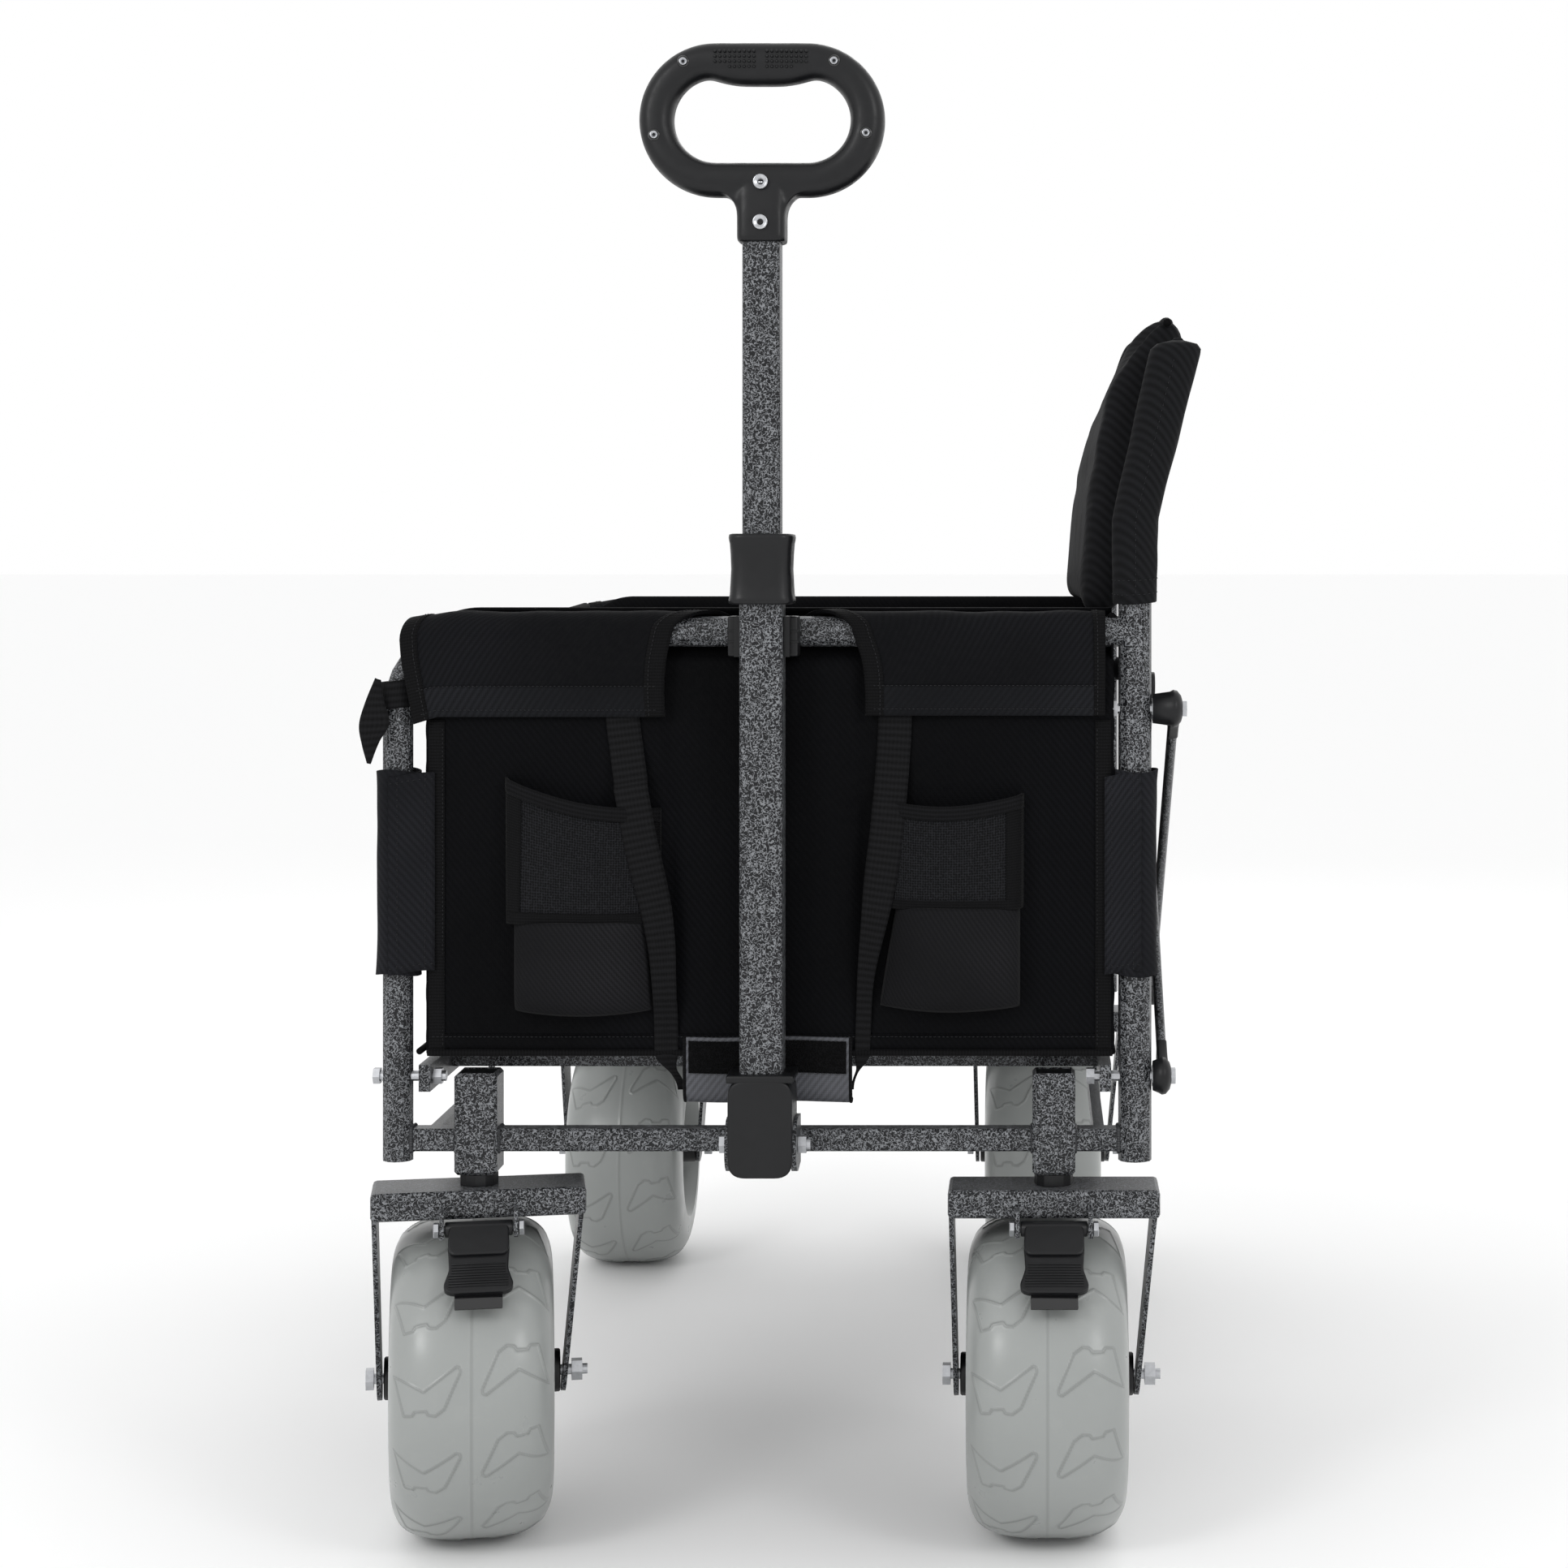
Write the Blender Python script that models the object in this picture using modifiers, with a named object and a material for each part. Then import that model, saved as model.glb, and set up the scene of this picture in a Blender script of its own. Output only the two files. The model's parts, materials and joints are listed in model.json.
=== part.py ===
"""Folding beach cart: tube frames, swivelling balloon wheels, telescopic handle and fabric basket.

Metres, +Z up.  While it is modelled, X = 0 is the cart's mid-plane (+X is the backrest side), Y = 0 is the
plane of the front frame (+Y runs to the rear frame) and Z = 0 is the ground.  At the end the whole cart is
moved so that the origin is the middle of its footprint.
"""
import math

import bmesh
import bpy
from mathutils import Matrix, Vector

COLLECTION = "beach_cart"
GAP = 0.0003                 # left between pieces that touch
RUNNING_GAP = 0.0005         # left between pieces that slide or turn on each other

# Front and rear frames
FRAME_SPACING = 0.860        # front frame plane to rear frame plane
POST_SPREAD = 0.554          # left post centre to right post centre
POST_RADIUS = 0.0125
POST_FOOT = 0.287
TOP_BAR_HEIGHT = 0.684
TOP_BAR_RADIUS = 0.0115
HOOP_BEND = 0.060
BACKREST_BEND_HEIGHT = 0.768
BACKREST_TOP = 0.897
BACKREST_LEAN = math.radians(13.5)
LOWER_BAR_HEIGHT = 0.303
LOWER_BAR_SIZE = 0.017

# Caster stubs and forks
STUB_SPREAD = 0.432          # left swivel axis to right swivel axis
STUB_SIZE = 0.032
STUB_TOP = 0.354
STUB_BOTTOM = 0.278
STUB_RECESS = 0.004
FORK_TOP = 0.269
FORK_CLEARANCE = 0.019       # a tyre's side to the fork's outer face
FORK_DEPTH = 0.054
FORK_HEIGHT = 0.021
FORK_WALL = 0.0035
FORK_TAPER_NEAR = 0.003      # how far the leg leans in on the wheel's close side
FORK_TAPER_FAR = 0.013       # and on the side with the long spacer
FORK_EYE_RADIUS = 0.016
SWIVEL_BOLT_RADIUS = 0.006
FRONT_LEFT_TURN = math.radians(10.5)   # the left caster stands turned a little

# Wheels
TYRE_RADIUS = 0.119
TYRE_WIDTH = 0.120
TYRE_SECTION = 0.052         # crown to bead
TYRE_SQUARENESS = 3.2        # exponent of the section's rounded shape
WHEEL_STEPS = 32             # flats round a tyre
BEAD_HALF = 0.036            # half the width of the tyre's bore
RIM_LIP = 0.004              # how far the hub's rim stands out past the bore on each side
CASTER_TRAIL = 0.025
AXLE_RADIUS = 0.004
SPACER_RADIUS = 0.0125

# Brake
BRAKE_PIN_RADIUS = 0.003
BRAKE_PIN_FORWARD = 0.036    # pin ahead of the swivel axis
BRAKE_PIN_BELOW = 0.026      # pin below the fork's top
BRAKE_ANGLE = math.radians(42.5)
BRAKE_WIDTH = 0.050
BRAKE_LENGTH = 0.068
BRAKE_THICKNESS = 0.003

# Handle
CLIP_BACK = 0.0037           # thickness of the clip between the crossbar and the handle
CLIP_ARM = 0.004
CLIP_HEIGHT = 0.030
HANDLE_PIVOT_HEIGHT = 0.305
OUTER_TUBE_SIZE = 0.032
OUTER_TUBE_WALL = 0.0015
OUTER_TUBE_BOTTOM = 0.3333
OUTER_TUBE_TOP = 0.745
INNER_TUBE_WALL = 0.0015
INNER_TUBE_BOTTOM = 0.565
COLLAR_BOTTOM = 0.705
COLLAR_TOP = 0.757
COLLAR_WALL = 0.009          # collar's rim outside the outer tube
COLLAR_WAIST = 0.005         # how far its waist draws in
EAR_THICKNESS = 0.0042
KNUCKLE_SIDE = 0.0057        # knuckle's cheek outside the outer tube
KNUCKLE_BACK = 0.0052        # its rounded foot beyond the outer tube, front and back
HANDLE_BOLT_RADIUS = 0.004
GRIP_WIDTH = 0.182
GRIP_BOTTOM = 1.006
GRIP_TOP = 1.120
GRIP_RAIL = 0.025
GRIP_DEPTH = 0.030
GRIP_CORNER = 0.052
GRIP_HOLE_CORNER = 0.028
NECK_BOTTOM = 0.972
NECK_WALL = 0.004

# Floor
FLOOR_HEIGHT = 0.350         # centre of the floor rails and of their pivots
RAIL_HEIGHT = 0.020
RAIL_WIDTH = 0.0085
RAIL_CLEARANCE = 0.0055      # a post's inner side to a front rail's outer face
RAIL_SHIFT = 0.0005          # rear rails sit this much nearer the mid-plane
HINGE_REACH = 0.036          # a rail ends this far from the middle hinge
HINGE_PLATE = 0.003
CROSS_TUBE_SIZE = 0.010
STOP_BAR_INSET = 0.005       # the stop bar's outer face inside the rail's
STOP_BAR_WIDTH = 0.008
STOP_BAR_HEIGHT = 0.016
STOP_BAR_END = 0.235
BOARD_THICKNESS = 0.006
BOARD_START = 0.060          # clear of the front wall while the floor folds
PIVOT_BOLT_RADIUS = 0.004

# Side bars, on the backrest side only
SIDE_BAR_TOP = 0.626
SIDE_BAR_HEIGHT = 0.017
SIDE_BAR_THICKNESS = 0.008
SIDE_BAR_END_RADIUS = 0.012
BAR_CLEARANCE = 0.0085       # a post's outer side to the middle of the nearer bar

# Basket
BASKET_BOTTOM = 0.368
WALL_TOP = 0.668
SIDE_WALL_TOP = 0.692
CLOTH = 0.004
FRONT_CLOTH = 0.0055         # back of the front wall ahead of the frame plane
SIDE_CLEARANCE = 0.0025      # a side wall's outer face to the posts
POCKET_BOTTOM = 0.402
POCKET_BELLY = 0.469
POCKET_TOP = 0.557
WEBBING_WIDTH = 0.025
WEBBING_THICKNESS = 0.0016
FLAP_THICKNESS = 0.003
WRAP_THICKNESS = 0.0022
WRAP_SLACK = 0.001           # the left sleeve round the thinner tube of the hoop
WRAP_BOTTOM = 0.428
WRAP_TOP = 0.578
BACKREST_CLEARANCE = 0.0095  # the padded panel's ends to the backrest posts

# What follows from the sizes above
HALF_SPREAD = POST_SPREAD / 2
POST_INNER = HALF_SPREAD - POST_RADIUS
POST_OUTER = HALF_SPREAD + POST_RADIUS
CASTER_X = STUB_SPREAD / 2
AXLE_HEIGHT = TYRE_RADIUS
FORK_WIDTH = TYRE_WIDTH + 2 * FORK_CLEARANCE
LEG_NEAR = FORK_WIDTH / 2 - FORK_TAPER_NEAR
LEG_FAR = FORK_WIDTH / 2 - FORK_TAPER_FAR
WHEEL_OFFSET = (LEG_FAR - LEG_NEAR) / 2
EYE_GAP = 0.0008 + SPACER_RADIUS * FORK_TAPER_FAR / (FORK_TOP - AXLE_HEIGHT)   # leaning leg to spacer
HUB_HALF = (LEG_FAR + LEG_NEAR) / 2 - FORK_WALL - EYE_GAP
RIM_RADIUS = TYRE_RADIUS - TYRE_SECTION
HUB_DISC = BEAD_HALF + RIM_LIP
INNER_TUBE_SIZE = OUTER_TUBE_SIZE - 2 * (OUTER_TUBE_WALL + RUNNING_GAP)
HANDLE_FORWARD = TOP_BAR_RADIUS + GAP + CLIP_BACK + RUNNING_GAP + OUTER_TUBE_SIZE / 2
COLLAR_WIDTH = OUTER_TUBE_SIZE + 2 * COLLAR_WALL
KNUCKLE_WIDTH = OUTER_TUBE_SIZE + 2 * KNUCKLE_SIDE
KNUCKLE_RADIUS = OUTER_TUBE_SIZE / 2 + KNUCKLE_BACK
NECK_SIZE = INNER_TUBE_SIZE + 2 * NECK_WALL
FLOOR_HALF = FRAME_SPACING / 2
RAIL_OUTER = POST_INNER - RAIL_CLEARANCE
STOP_BAR_OUTER = RAIL_OUTER - STOP_BAR_INSET
SIDE_CLOTH = POST_INNER - SIDE_CLEARANCE - CLOTH
SIDES = (("left", -1), ("right", 1))
INNER_BAR_PLANE = POST_OUTER + BAR_CLEARANCE
OUTER_BAR_PLANE = INNER_BAR_PLANE + SIDE_BAR_THICKNESS + RUNNING_GAP
BAR_PLANES = {"front": (OUTER_BAR_PLANE, INNER_BAR_PLANE),     # the falling bar's plane, the rising bar's
              "rear": (INNER_BAR_PLANE, OUTER_BAR_PLANE)}

STEEL = ("vein_powder_coat", (0.045, 0.047, 0.050), 0.42, 0.6)
BLACK_PLASTIC = ("black_plastic", (0.012, 0.012, 0.013), 0.38, 0.0)
ZINC = ("zinc", (0.62, 0.63, 0.65), 0.30, 1.0)
RUBBER = ("tyre_grey", (0.335, 0.345, 0.325), 0.45, 0.0)
CLOTH_BLACK = ("black_twill", (0.012, 0.012, 0.014), 0.85, 0.0)
WEB_BLACK = ("black_webbing", (0.020, 0.020, 0.022), 0.80, 0.0)
MESH_BLACK = ("black_mesh", (0.016, 0.016, 0.017), 0.75, 0.0)
BOARD_GREY = ("board_grey", (0.070, 0.072, 0.078), 0.90, 0.0)


def clear_scene():
    for old in list(bpy.data.objects):
        bpy.data.objects.remove(old, do_unlink=True)


def collection(name):
    made = bpy.data.collections.new(name)
    bpy.context.scene.collection.children.link(made)
    return made


clear_scene()
PARTS = collection(COLLECTION)
ORIGIN = bpy.data.objects.new("cart_origin", None)
PARTS.objects.link(ORIGIN)


def material(recipe):
    name, color, roughness, metallic = recipe
    found = bpy.data.materials.get(name)
    if found:
        return found
    made = bpy.data.materials.new(name)
    made.use_nodes = True
    shader = made.node_tree.nodes["Principled BSDF"]
    shader.inputs["Base Color"].default_value = (*color, 1.0)
    shader.inputs["Roughness"].default_value = roughness
    shader.inputs["Metallic"].default_value = metallic
    return made


def axis_empty(name, location, parent=ORIGIN, turn=0.0):
    """An empty on a joint's axis, which carries the pieces that move with it."""
    empty = bpy.data.objects.new(name, None)
    PARTS.objects.link(empty)
    empty.parent = parent
    empty.location = location
    empty.rotation_euler = (0.0, 0.0, turn)
    return empty


def add_object(name, mesh, recipe=STEEL):
    obj = bpy.data.objects.new(name, mesh)
    PARTS.objects.link(obj)
    mesh.materials.clear()
    mesh.materials.append(material(recipe))
    return obj


def place(obj, parent=ORIGIN):
    """Hang a piece that was modelled in cart coordinates on its joint's empty, without moving it."""
    obj.parent = parent
    offset = Vector((0.0, 0.0, 0.0))
    while parent is not None:
        offset += parent.location
        parent = parent.parent
    obj.location = -offset
    return obj


def box(name, low, high, recipe=STEEL, rounding=0.0, segments=2):
    mesh = bpy.data.meshes.new(name)
    bm = bmesh.new()
    size = Vector(high) - Vector(low)
    middle = (Vector(high) + Vector(low)) / 2
    bmesh.ops.create_cube(bm, size=1.0, matrix=Matrix.Translation(middle) @ Matrix.Diagonal((*size, 1.0)))
    if rounding:
        bmesh.ops.bevel(bm, geom=bm.edges[:], offset=rounding, segments=segments, profile=0.5, affect="EDGES")
    bm.to_mesh(mesh)
    bm.free()
    return add_object(name, mesh, recipe)


def cylinder(name, centre, radius, length, axis="X", recipe=ZINC, sides=16):
    mesh = bpy.data.meshes.new(name)
    bm = bmesh.new()
    bmesh.ops.create_cone(bm, cap_ends=True, segments=sides, radius1=radius, radius2=radius, depth=length)
    turn = {"X": Matrix.Rotation(math.pi / 2, 4, "Y"), "Y": Matrix.Rotation(math.pi / 2, 4, "X"),
            "Z": Matrix.Identity(4)}[axis]
    bm.transform(Matrix.Translation(centre) @ turn)
    bm.to_mesh(mesh)
    bm.free()
    return add_object(name, mesh, recipe)


def evaluated_mesh(obj):
    bpy.context.view_layer.update()
    return bpy.data.meshes.new_from_object(obj.evaluated_get(bpy.context.evaluated_depsgraph_get()))


def welded(obj, recipe):
    """Turn a curve into a mesh object with its caps welded on."""
    name = obj.name
    mesh = evaluated_mesh(obj)
    matrix = obj.matrix_world.copy()
    bpy.data.objects.remove(obj, do_unlink=True)
    bm = bmesh.new()
    bm.from_mesh(mesh)
    bmesh.ops.remove_doubles(bm, verts=bm.verts, dist=1e-6)
    bm.transform(matrix)
    bmesh.ops.recalc_face_normals(bm, faces=bm.faces)
    bm.to_mesh(mesh)
    bm.free()
    return add_object(name, mesh, recipe)


def rounded_path(corners, bend, steps=5):
    """The points of a path whose inner corners are arcs of the bend radius."""
    corners = [Vector(c) for c in corners]
    path = [corners[0]]
    for before, corner, after in zip(corners, corners[1:], corners[2:]):
        into = (before - corner).normalized()
        out = (after - corner).normalized()
        half = into.angle(out) / 2
        centre = corner + (into + out).normalized() * bend / math.sin(half)
        start = corner + into * bend / math.tan(half) - centre
        end = corner + out * bend / math.tan(half) - centre
        sweep = start.angle(end)
        for i in range(steps + 1):
            share = i / steps
            point = (start * math.sin((1 - share) * sweep) + end * math.sin(share * sweep)) / math.sin(sweep)
            path.append(centre + point)
    path.append(corners[-1])
    return path


def tube(name, path, radius, recipe=STEEL, resolution=4):
    curve = bpy.data.curves.new(name, "CURVE")
    curve.dimensions = "3D"
    curve.bevel_depth = radius
    curve.bevel_resolution = resolution
    curve.use_fill_caps = True
    line = curve.splines.new("POLY")
    line.points.add(len(path) - 1)
    for point, where in zip(line.points, path):
        point.co = (*where, 1.0)
    obj = bpy.data.objects.new(name, curve)
    PARTS.objects.link(obj)
    return welded(obj, recipe)


PLANES = {"XY": Matrix.Identity(4),
          "XZ": Matrix.Rotation(math.pi / 2, 4, "X"),
          "YZ": Matrix(((0, 0, 1, 0), (1, 0, 0, 0), (0, 1, 0, 0), (0, 0, 0, 1)))}


def plate(name, outline, thickness, centre, plane="XZ", recipe=STEEL, holes=()):
    """A flat outline in a plane, given its thickness across the plane about the centre."""
    curve = bpy.data.curves.new(name, "CURVE")
    curve.dimensions = "2D"
    curve.fill_mode = "BOTH"
    curve.extrude = thickness / 2
    for ring in (outline, *holes):
        line = curve.splines.new("POLY")
        line.use_cyclic_u = True
        line.points.add(len(ring) - 1)
        for point, (u, v) in zip(line.points, ring):
            point.co = (u, v, 0.0, 1.0)
    obj = bpy.data.objects.new(name, curve)
    PARTS.objects.link(obj)
    obj.matrix_world = Matrix.Translation(centre) @ PLANES[plane]
    return welded(obj, recipe)


def rounded_rectangle(low, high, corner, steps=4):
    points = []
    centres = ((high[0] - corner, high[1] - corner, 0), (low[0] + corner, high[1] - corner, 1),
               (low[0] + corner, low[1] + corner, 2), (high[0] - corner, low[1] + corner, 3))
    for u, v, quarter in centres:
        for i in range(steps + 1):
            angle = (quarter + i / steps) * math.pi / 2
            points.append((u + corner * math.cos(angle), v + corner * math.sin(angle)))
    return points


def square_tube(name, size, wall, low, high, recipe=STEEL, corner=0.0045):
    outline = rounded_rectangle((-size / 2, -size / 2), (size / 2, size / 2), corner, 3)
    inner = size / 2 - wall
    hole = rounded_rectangle((-inner, -inner), (inner, inner), corner - wall, 3)
    return plate(name, outline, high - low, (0.0, -HANDLE_FORWARD, (low + high) / 2), "XY", recipe, (hole,))


def stacked(name, rings, recipe=BLACK_PLASTIC, centre=(0.0, 0.0)):
    """A solid lofted through level rounded rectangles: (height, half width, half depth, corner) each."""
    mesh = bpy.data.meshes.new(name)
    bm = bmesh.new()
    loops = []
    for height, half_width, half_depth, corner in rings:
        outline = rounded_rectangle((-half_width, -half_depth), (half_width, half_depth), corner, 3)
        loops.append([bm.verts.new((u + centre[0], v + centre[1], height)) for u, v in outline])
    for lower, upper in zip(loops, loops[1:]):
        for i in range(len(lower)):
            j = (i + 1) % len(lower)
            bm.faces.new((lower[i], lower[j], upper[j], upper[i]))
    bm.faces.new(list(reversed(loops[0])))
    bm.faces.new(loops[-1])
    bmesh.ops.recalc_face_normals(bm, faces=bm.faces)
    bm.to_mesh(mesh)
    bm.free()
    return add_object(name, mesh, recipe)


def turned(name, profile, closed, recipe, steps=32, along="Z"):
    """A Screw-modifier solid from a (radius, height) profile that runs down its outer side."""
    mesh = bpy.data.meshes.new(name)
    edges = [(i, i + 1) for i in range(len(profile) - 1)]
    if closed:
        edges.append((len(profile) - 1, 0))
    mesh.from_pydata([(radius, 0.0, height) for radius, height in profile], edges, [])
    obj = add_object(name, mesh, recipe)
    screw = obj.modifiers.new("turn", "SCREW")
    screw.axis = "Z"
    screw.steps = steps
    screw.render_steps = steps
    screw.use_merge_vertices = True
    screw.merge_threshold = 0.00001
    screw.use_smooth_shade = True
    solid = evaluated_mesh(obj)
    bpy.data.objects.remove(obj, do_unlink=True)
    if along == "X":
        solid.transform(Matrix.Rotation(math.pi / 2, 4, "Y"))
    return add_object(name, solid, recipe)


def boolean(target, tools, operation):
    """Join tools to the target or cut them from it, and keep the result as the target's mesh."""
    for tool in tools:
        step = target.modifiers.new("step", "BOOLEAN")
        step.solver = "EXACT"
        step.operation = operation
        step.object = tool
        solid = evaluated_mesh(target)
        target.modifiers.clear()
        target.data = solid
        bpy.data.objects.remove(tool, do_unlink=True)
    return target


def join(target, *tools):
    return boolean(target, tools, "UNION")


def cut(target, *tools):
    return boolean(target, tools, "DIFFERENCE")


def move_mesh(obj, offset):
    """Move a piece's mesh, so that its object stays at the place its parent gives it."""
    obj.data.transform(Matrix.Translation(offset))
    return obj


def copy_piece(source, name):
    obj = bpy.data.objects.new(name, source.data)
    PARTS.objects.link(obj)
    return obj


# ---------------------------------------------------------------- bolts

def bolt(name, start, end, radius, head=0.0065, head_length=0.005, nut=0.0065, nut_length=0.006, tip=0.003):
    """A bolt along +X from the back of its head to the end of its thread, with its nut on it."""
    x0, y, z = start
    x1 = end
    piece = cylinder(name, ((x0 + x1) / 2, y, z), radius, x1 - x0, sides=12)
    join(piece,
         cylinder("head", (x0 + head_length / 2, y, z), head, head_length, sides=6),
         cylinder("nut", (x1 - tip - nut_length / 2, y, z), nut, nut_length, sides=6))
    return piece


# ---------------------------------------------------------------- frames

def lean_point(height):
    """The backrest post's centre at a height above its bend."""
    return HALF_SPREAD + (height - BACKREST_BEND_HEIGHT) * math.tan(BACKREST_LEAN)


def frame(name, y):
    """One end frame: a hoop, the taller backrest post, the lower crossbar and two stubs for the forks."""
    hoop = rounded_path([(-HALF_SPREAD, y, POST_FOOT), (-HALF_SPREAD, y, TOP_BAR_HEIGHT),
                         (HALF_SPREAD, y, TOP_BAR_HEIGHT)], HOOP_BEND, 7)
    post = rounded_path([(HALF_SPREAD, y, POST_FOOT), (HALF_SPREAD, y, BACKREST_BEND_HEIGHT),
                         (lean_point(BACKREST_TOP), y, BACKREST_TOP)], 0.150, 4)
    piece = tube(name, hoop, TOP_BAR_RADIUS)
    half_bar = LOWER_BAR_SIZE / 2
    lower = box("lower", (-HALF_SPREAD, y - half_bar, LOWER_BAR_HEIGHT - half_bar),
                (HALF_SPREAD, y + half_bar, LOWER_BAR_HEIGHT + half_bar), rounding=0.0015, segments=1)
    tools = [tube("post", post, POST_RADIUS), lower]
    for side, sign in SIDES:
        tools.append(stub("stub_" + side, sign * CASTER_X, y))
    join(piece, *tools)
    for side, sign in SIDES:
        for height in (FLOOR_HEIGHT, SIDE_BAR_TOP):
            if height == FLOOR_HEIGHT or sign > 0:
                cut(piece, cylinder("bore", (sign * HALF_SPREAD, y, height), PIVOT_BOLT_RADIUS + GAP, 0.05))
        recess = STUB_SIZE / 2 - 0.003
        cut(piece,
            box("recess", (sign * CASTER_X - recess, y - recess, STUB_TOP - STUB_RECESS),
                (sign * CASTER_X + recess, y + recess, STUB_TOP + 0.01)),
            cylinder("bore", (sign * CASTER_X, y, STUB_BOTTOM), SWIVEL_BOLT_RADIUS + GAP, 0.060, "Z"))
    return piece


def stub(name, x, y):
    half = STUB_SIZE / 2
    return box(name, (x - half, y - half, STUB_BOTTOM), (x + half, y + half, STUB_TOP),
               rounding=0.0025, segments=1)


def ear(name, sign):
    """A rounded bracket plate that carries one end of the handle's pivot bolt."""
    radius = 0.020
    back = -LOWER_BAR_SIZE / 2 + 0.002
    outline = [(back, HANDLE_PIVOT_HEIGHT + radius - 0.002), (back, HANDLE_PIVOT_HEIGHT - radius + 0.002)]
    for i in range(9):
        angle = math.radians(-90 - 22.5 * i)
        outline.append((-HANDLE_FORWARD + radius * math.cos(angle),
                        HANDLE_PIVOT_HEIGHT + radius * math.sin(angle)))
    x = sign * (KNUCKLE_WIDTH / 2 + RUNNING_GAP + EAR_THICKNESS / 2)
    return plate(name, outline, EAR_THICKNESS, (x, 0.0, 0.0), "YZ")


def front_frame():
    piece = frame("front_frame", 0.0)
    join(piece, *[ear("ear_" + side, sign) for side, sign in SIDES])
    cut(piece, cylinder("bore", (0.0, -HANDLE_FORWARD, HANDLE_PIVOT_HEIGHT), HANDLE_BOLT_RADIUS + GAP, 0.1))
    return place(piece)


def handle_clip():
    """A black clip on the top crossbar that the upright handle rests in."""
    arm = CLIP_ARM
    inner = OUTER_TUBE_SIZE / 2 + RUNNING_GAP
    back = -TOP_BAR_RADIUS - GAP
    seat = -HANDLE_FORWARD + inner
    front = -HANDLE_FORWARD - 0.006
    outline = [(-inner - arm, back), (-inner - arm, front), (-inner, front), (-inner, seat), (inner, seat),
               (inner, front), (inner + arm, front), (inner + arm, back)]
    centre = (0.0, 0.0, TOP_BAR_HEIGHT - 0.003)
    return place(plate("handle_clip", outline, CLIP_HEIGHT, centre, "XY", BLACK_PLASTIC))


def swivel_bolt(name, x, y, parent):
    """The king bolt with its washers: up into the stub, down through the fork's top plate."""
    plate_bottom = FORK_TOP - FORK_WALL
    profile = [(0.0, STUB_BOTTOM + 0.026), (SWIVEL_BOLT_RADIUS, STUB_BOTTOM + 0.026),
               (SWIVEL_BOLT_RADIUS, STUB_BOTTOM - GAP), (0.0145, STUB_BOTTOM - GAP),
               (0.0145, FORK_TOP + GAP), (SWIVEL_BOLT_RADIUS, FORK_TOP + GAP),
               (SWIVEL_BOLT_RADIUS, plate_bottom - GAP), (0.010, plate_bottom - GAP),
               (0.010, plate_bottom - 0.008), (0.0, plate_bottom - 0.008)]
    piece = turned(name, profile, False, ZINC, 12)
    move_mesh(piece, (x, y, 0.0))
    return place(piece, parent)


# ---------------------------------------------------------------- forks and wheels

def fork_leg(name, sign, taper):
    """One leg: a tapered plate with a round eye, leaning in towards the wheel."""
    top = FORK_TOP - 0.0035
    outline = [(FORK_DEPTH / 2 - 0.002, top), (-FORK_DEPTH / 2 + 0.006, top)]
    for i in range(9):
        angle = math.radians(190 + 20 * i)
        outline.append((CASTER_TRAIL + FORK_EYE_RADIUS * math.cos(angle),
                        AXLE_HEIGHT + FORK_EYE_RADIUS * math.sin(angle)))
    leg = plate(name, outline, FORK_WALL, (0.0, 0.0, 0.0), "YZ")
    lean = math.atan(taper / (top - AXLE_HEIGHT))
    pivot = Matrix.Translation((0.0, 0.0, top))
    leg.data.transform(pivot @ Matrix.Rotation(sign * lean, 4, "Y") @ pivot.inverted())
    return move_mesh(leg, (sign * (FORK_WIDTH / 2 - FORK_WALL / 2 - 0.0002), 0.0, 0.0))


def brake_lug(name, sign):
    x = sign * (BRAKE_WIDTH / 2 + RUNNING_GAP + 0.0015)
    z = FORK_TOP - BRAKE_PIN_BELOW
    return box(name, (x - 0.0015, -BRAKE_PIN_FORWARD - 0.006, z - 0.006),
               (x + 0.0015, -FORK_DEPTH / 2 + 0.002, z + 0.014))


def fork_mesh(with_lugs):
    half_width = FORK_WIDTH / 2
    half_depth = FORK_DEPTH / 2
    inner_width = half_width - FORK_WALL
    inner_depth = half_depth - FORK_WALL
    bottom = FORK_TOP - FORK_HEIGHT
    piece = box("fork", (-half_width, -half_depth, bottom), (half_width, half_depth, FORK_TOP),
                rounding=0.003, segments=2)
    cut(piece, box("channel", (-inner_width, -inner_depth, bottom - 0.01),
                   (inner_width, inner_depth, FORK_TOP - FORK_WALL)))
    join(piece, fork_leg("near", -1, FORK_TAPER_NEAR), fork_leg("far", 1, FORK_TAPER_FAR))
    if with_lugs:
        join(piece, *[brake_lug("lug_" + side, sign) for side, sign in SIDES])
        cut(piece, cylinder("pin", (0.0, -BRAKE_PIN_FORWARD, FORK_TOP - BRAKE_PIN_BELOW),
                            BRAKE_PIN_RADIUS + GAP, 0.1, sides=12))
    cut(piece,
        cylinder("axle", (0.0, CASTER_TRAIL, AXLE_HEIGHT), AXLE_RADIUS + GAP, 0.3, sides=12),
        cylinder("king", (0.0, 0.0, FORK_TOP), SWIVEL_BOLT_RADIUS + GAP, 0.02, "Z"))
    return piece


def axle_bolt(name):
    """The axle: hex head outside the near leg, lock nut outside the far leg."""
    out = 0.0022              # clears the leaning leg's face
    start = -LEG_NEAR - out - 0.006
    end = LEG_FAR + out + 0.013
    return bolt(name, (start, CASTER_TRAIL, AXLE_HEIGHT), end, AXLE_RADIUS,
                head=0.0085, head_length=0.006, nut=0.0085, nut_length=0.008, tip=0.004)


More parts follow.
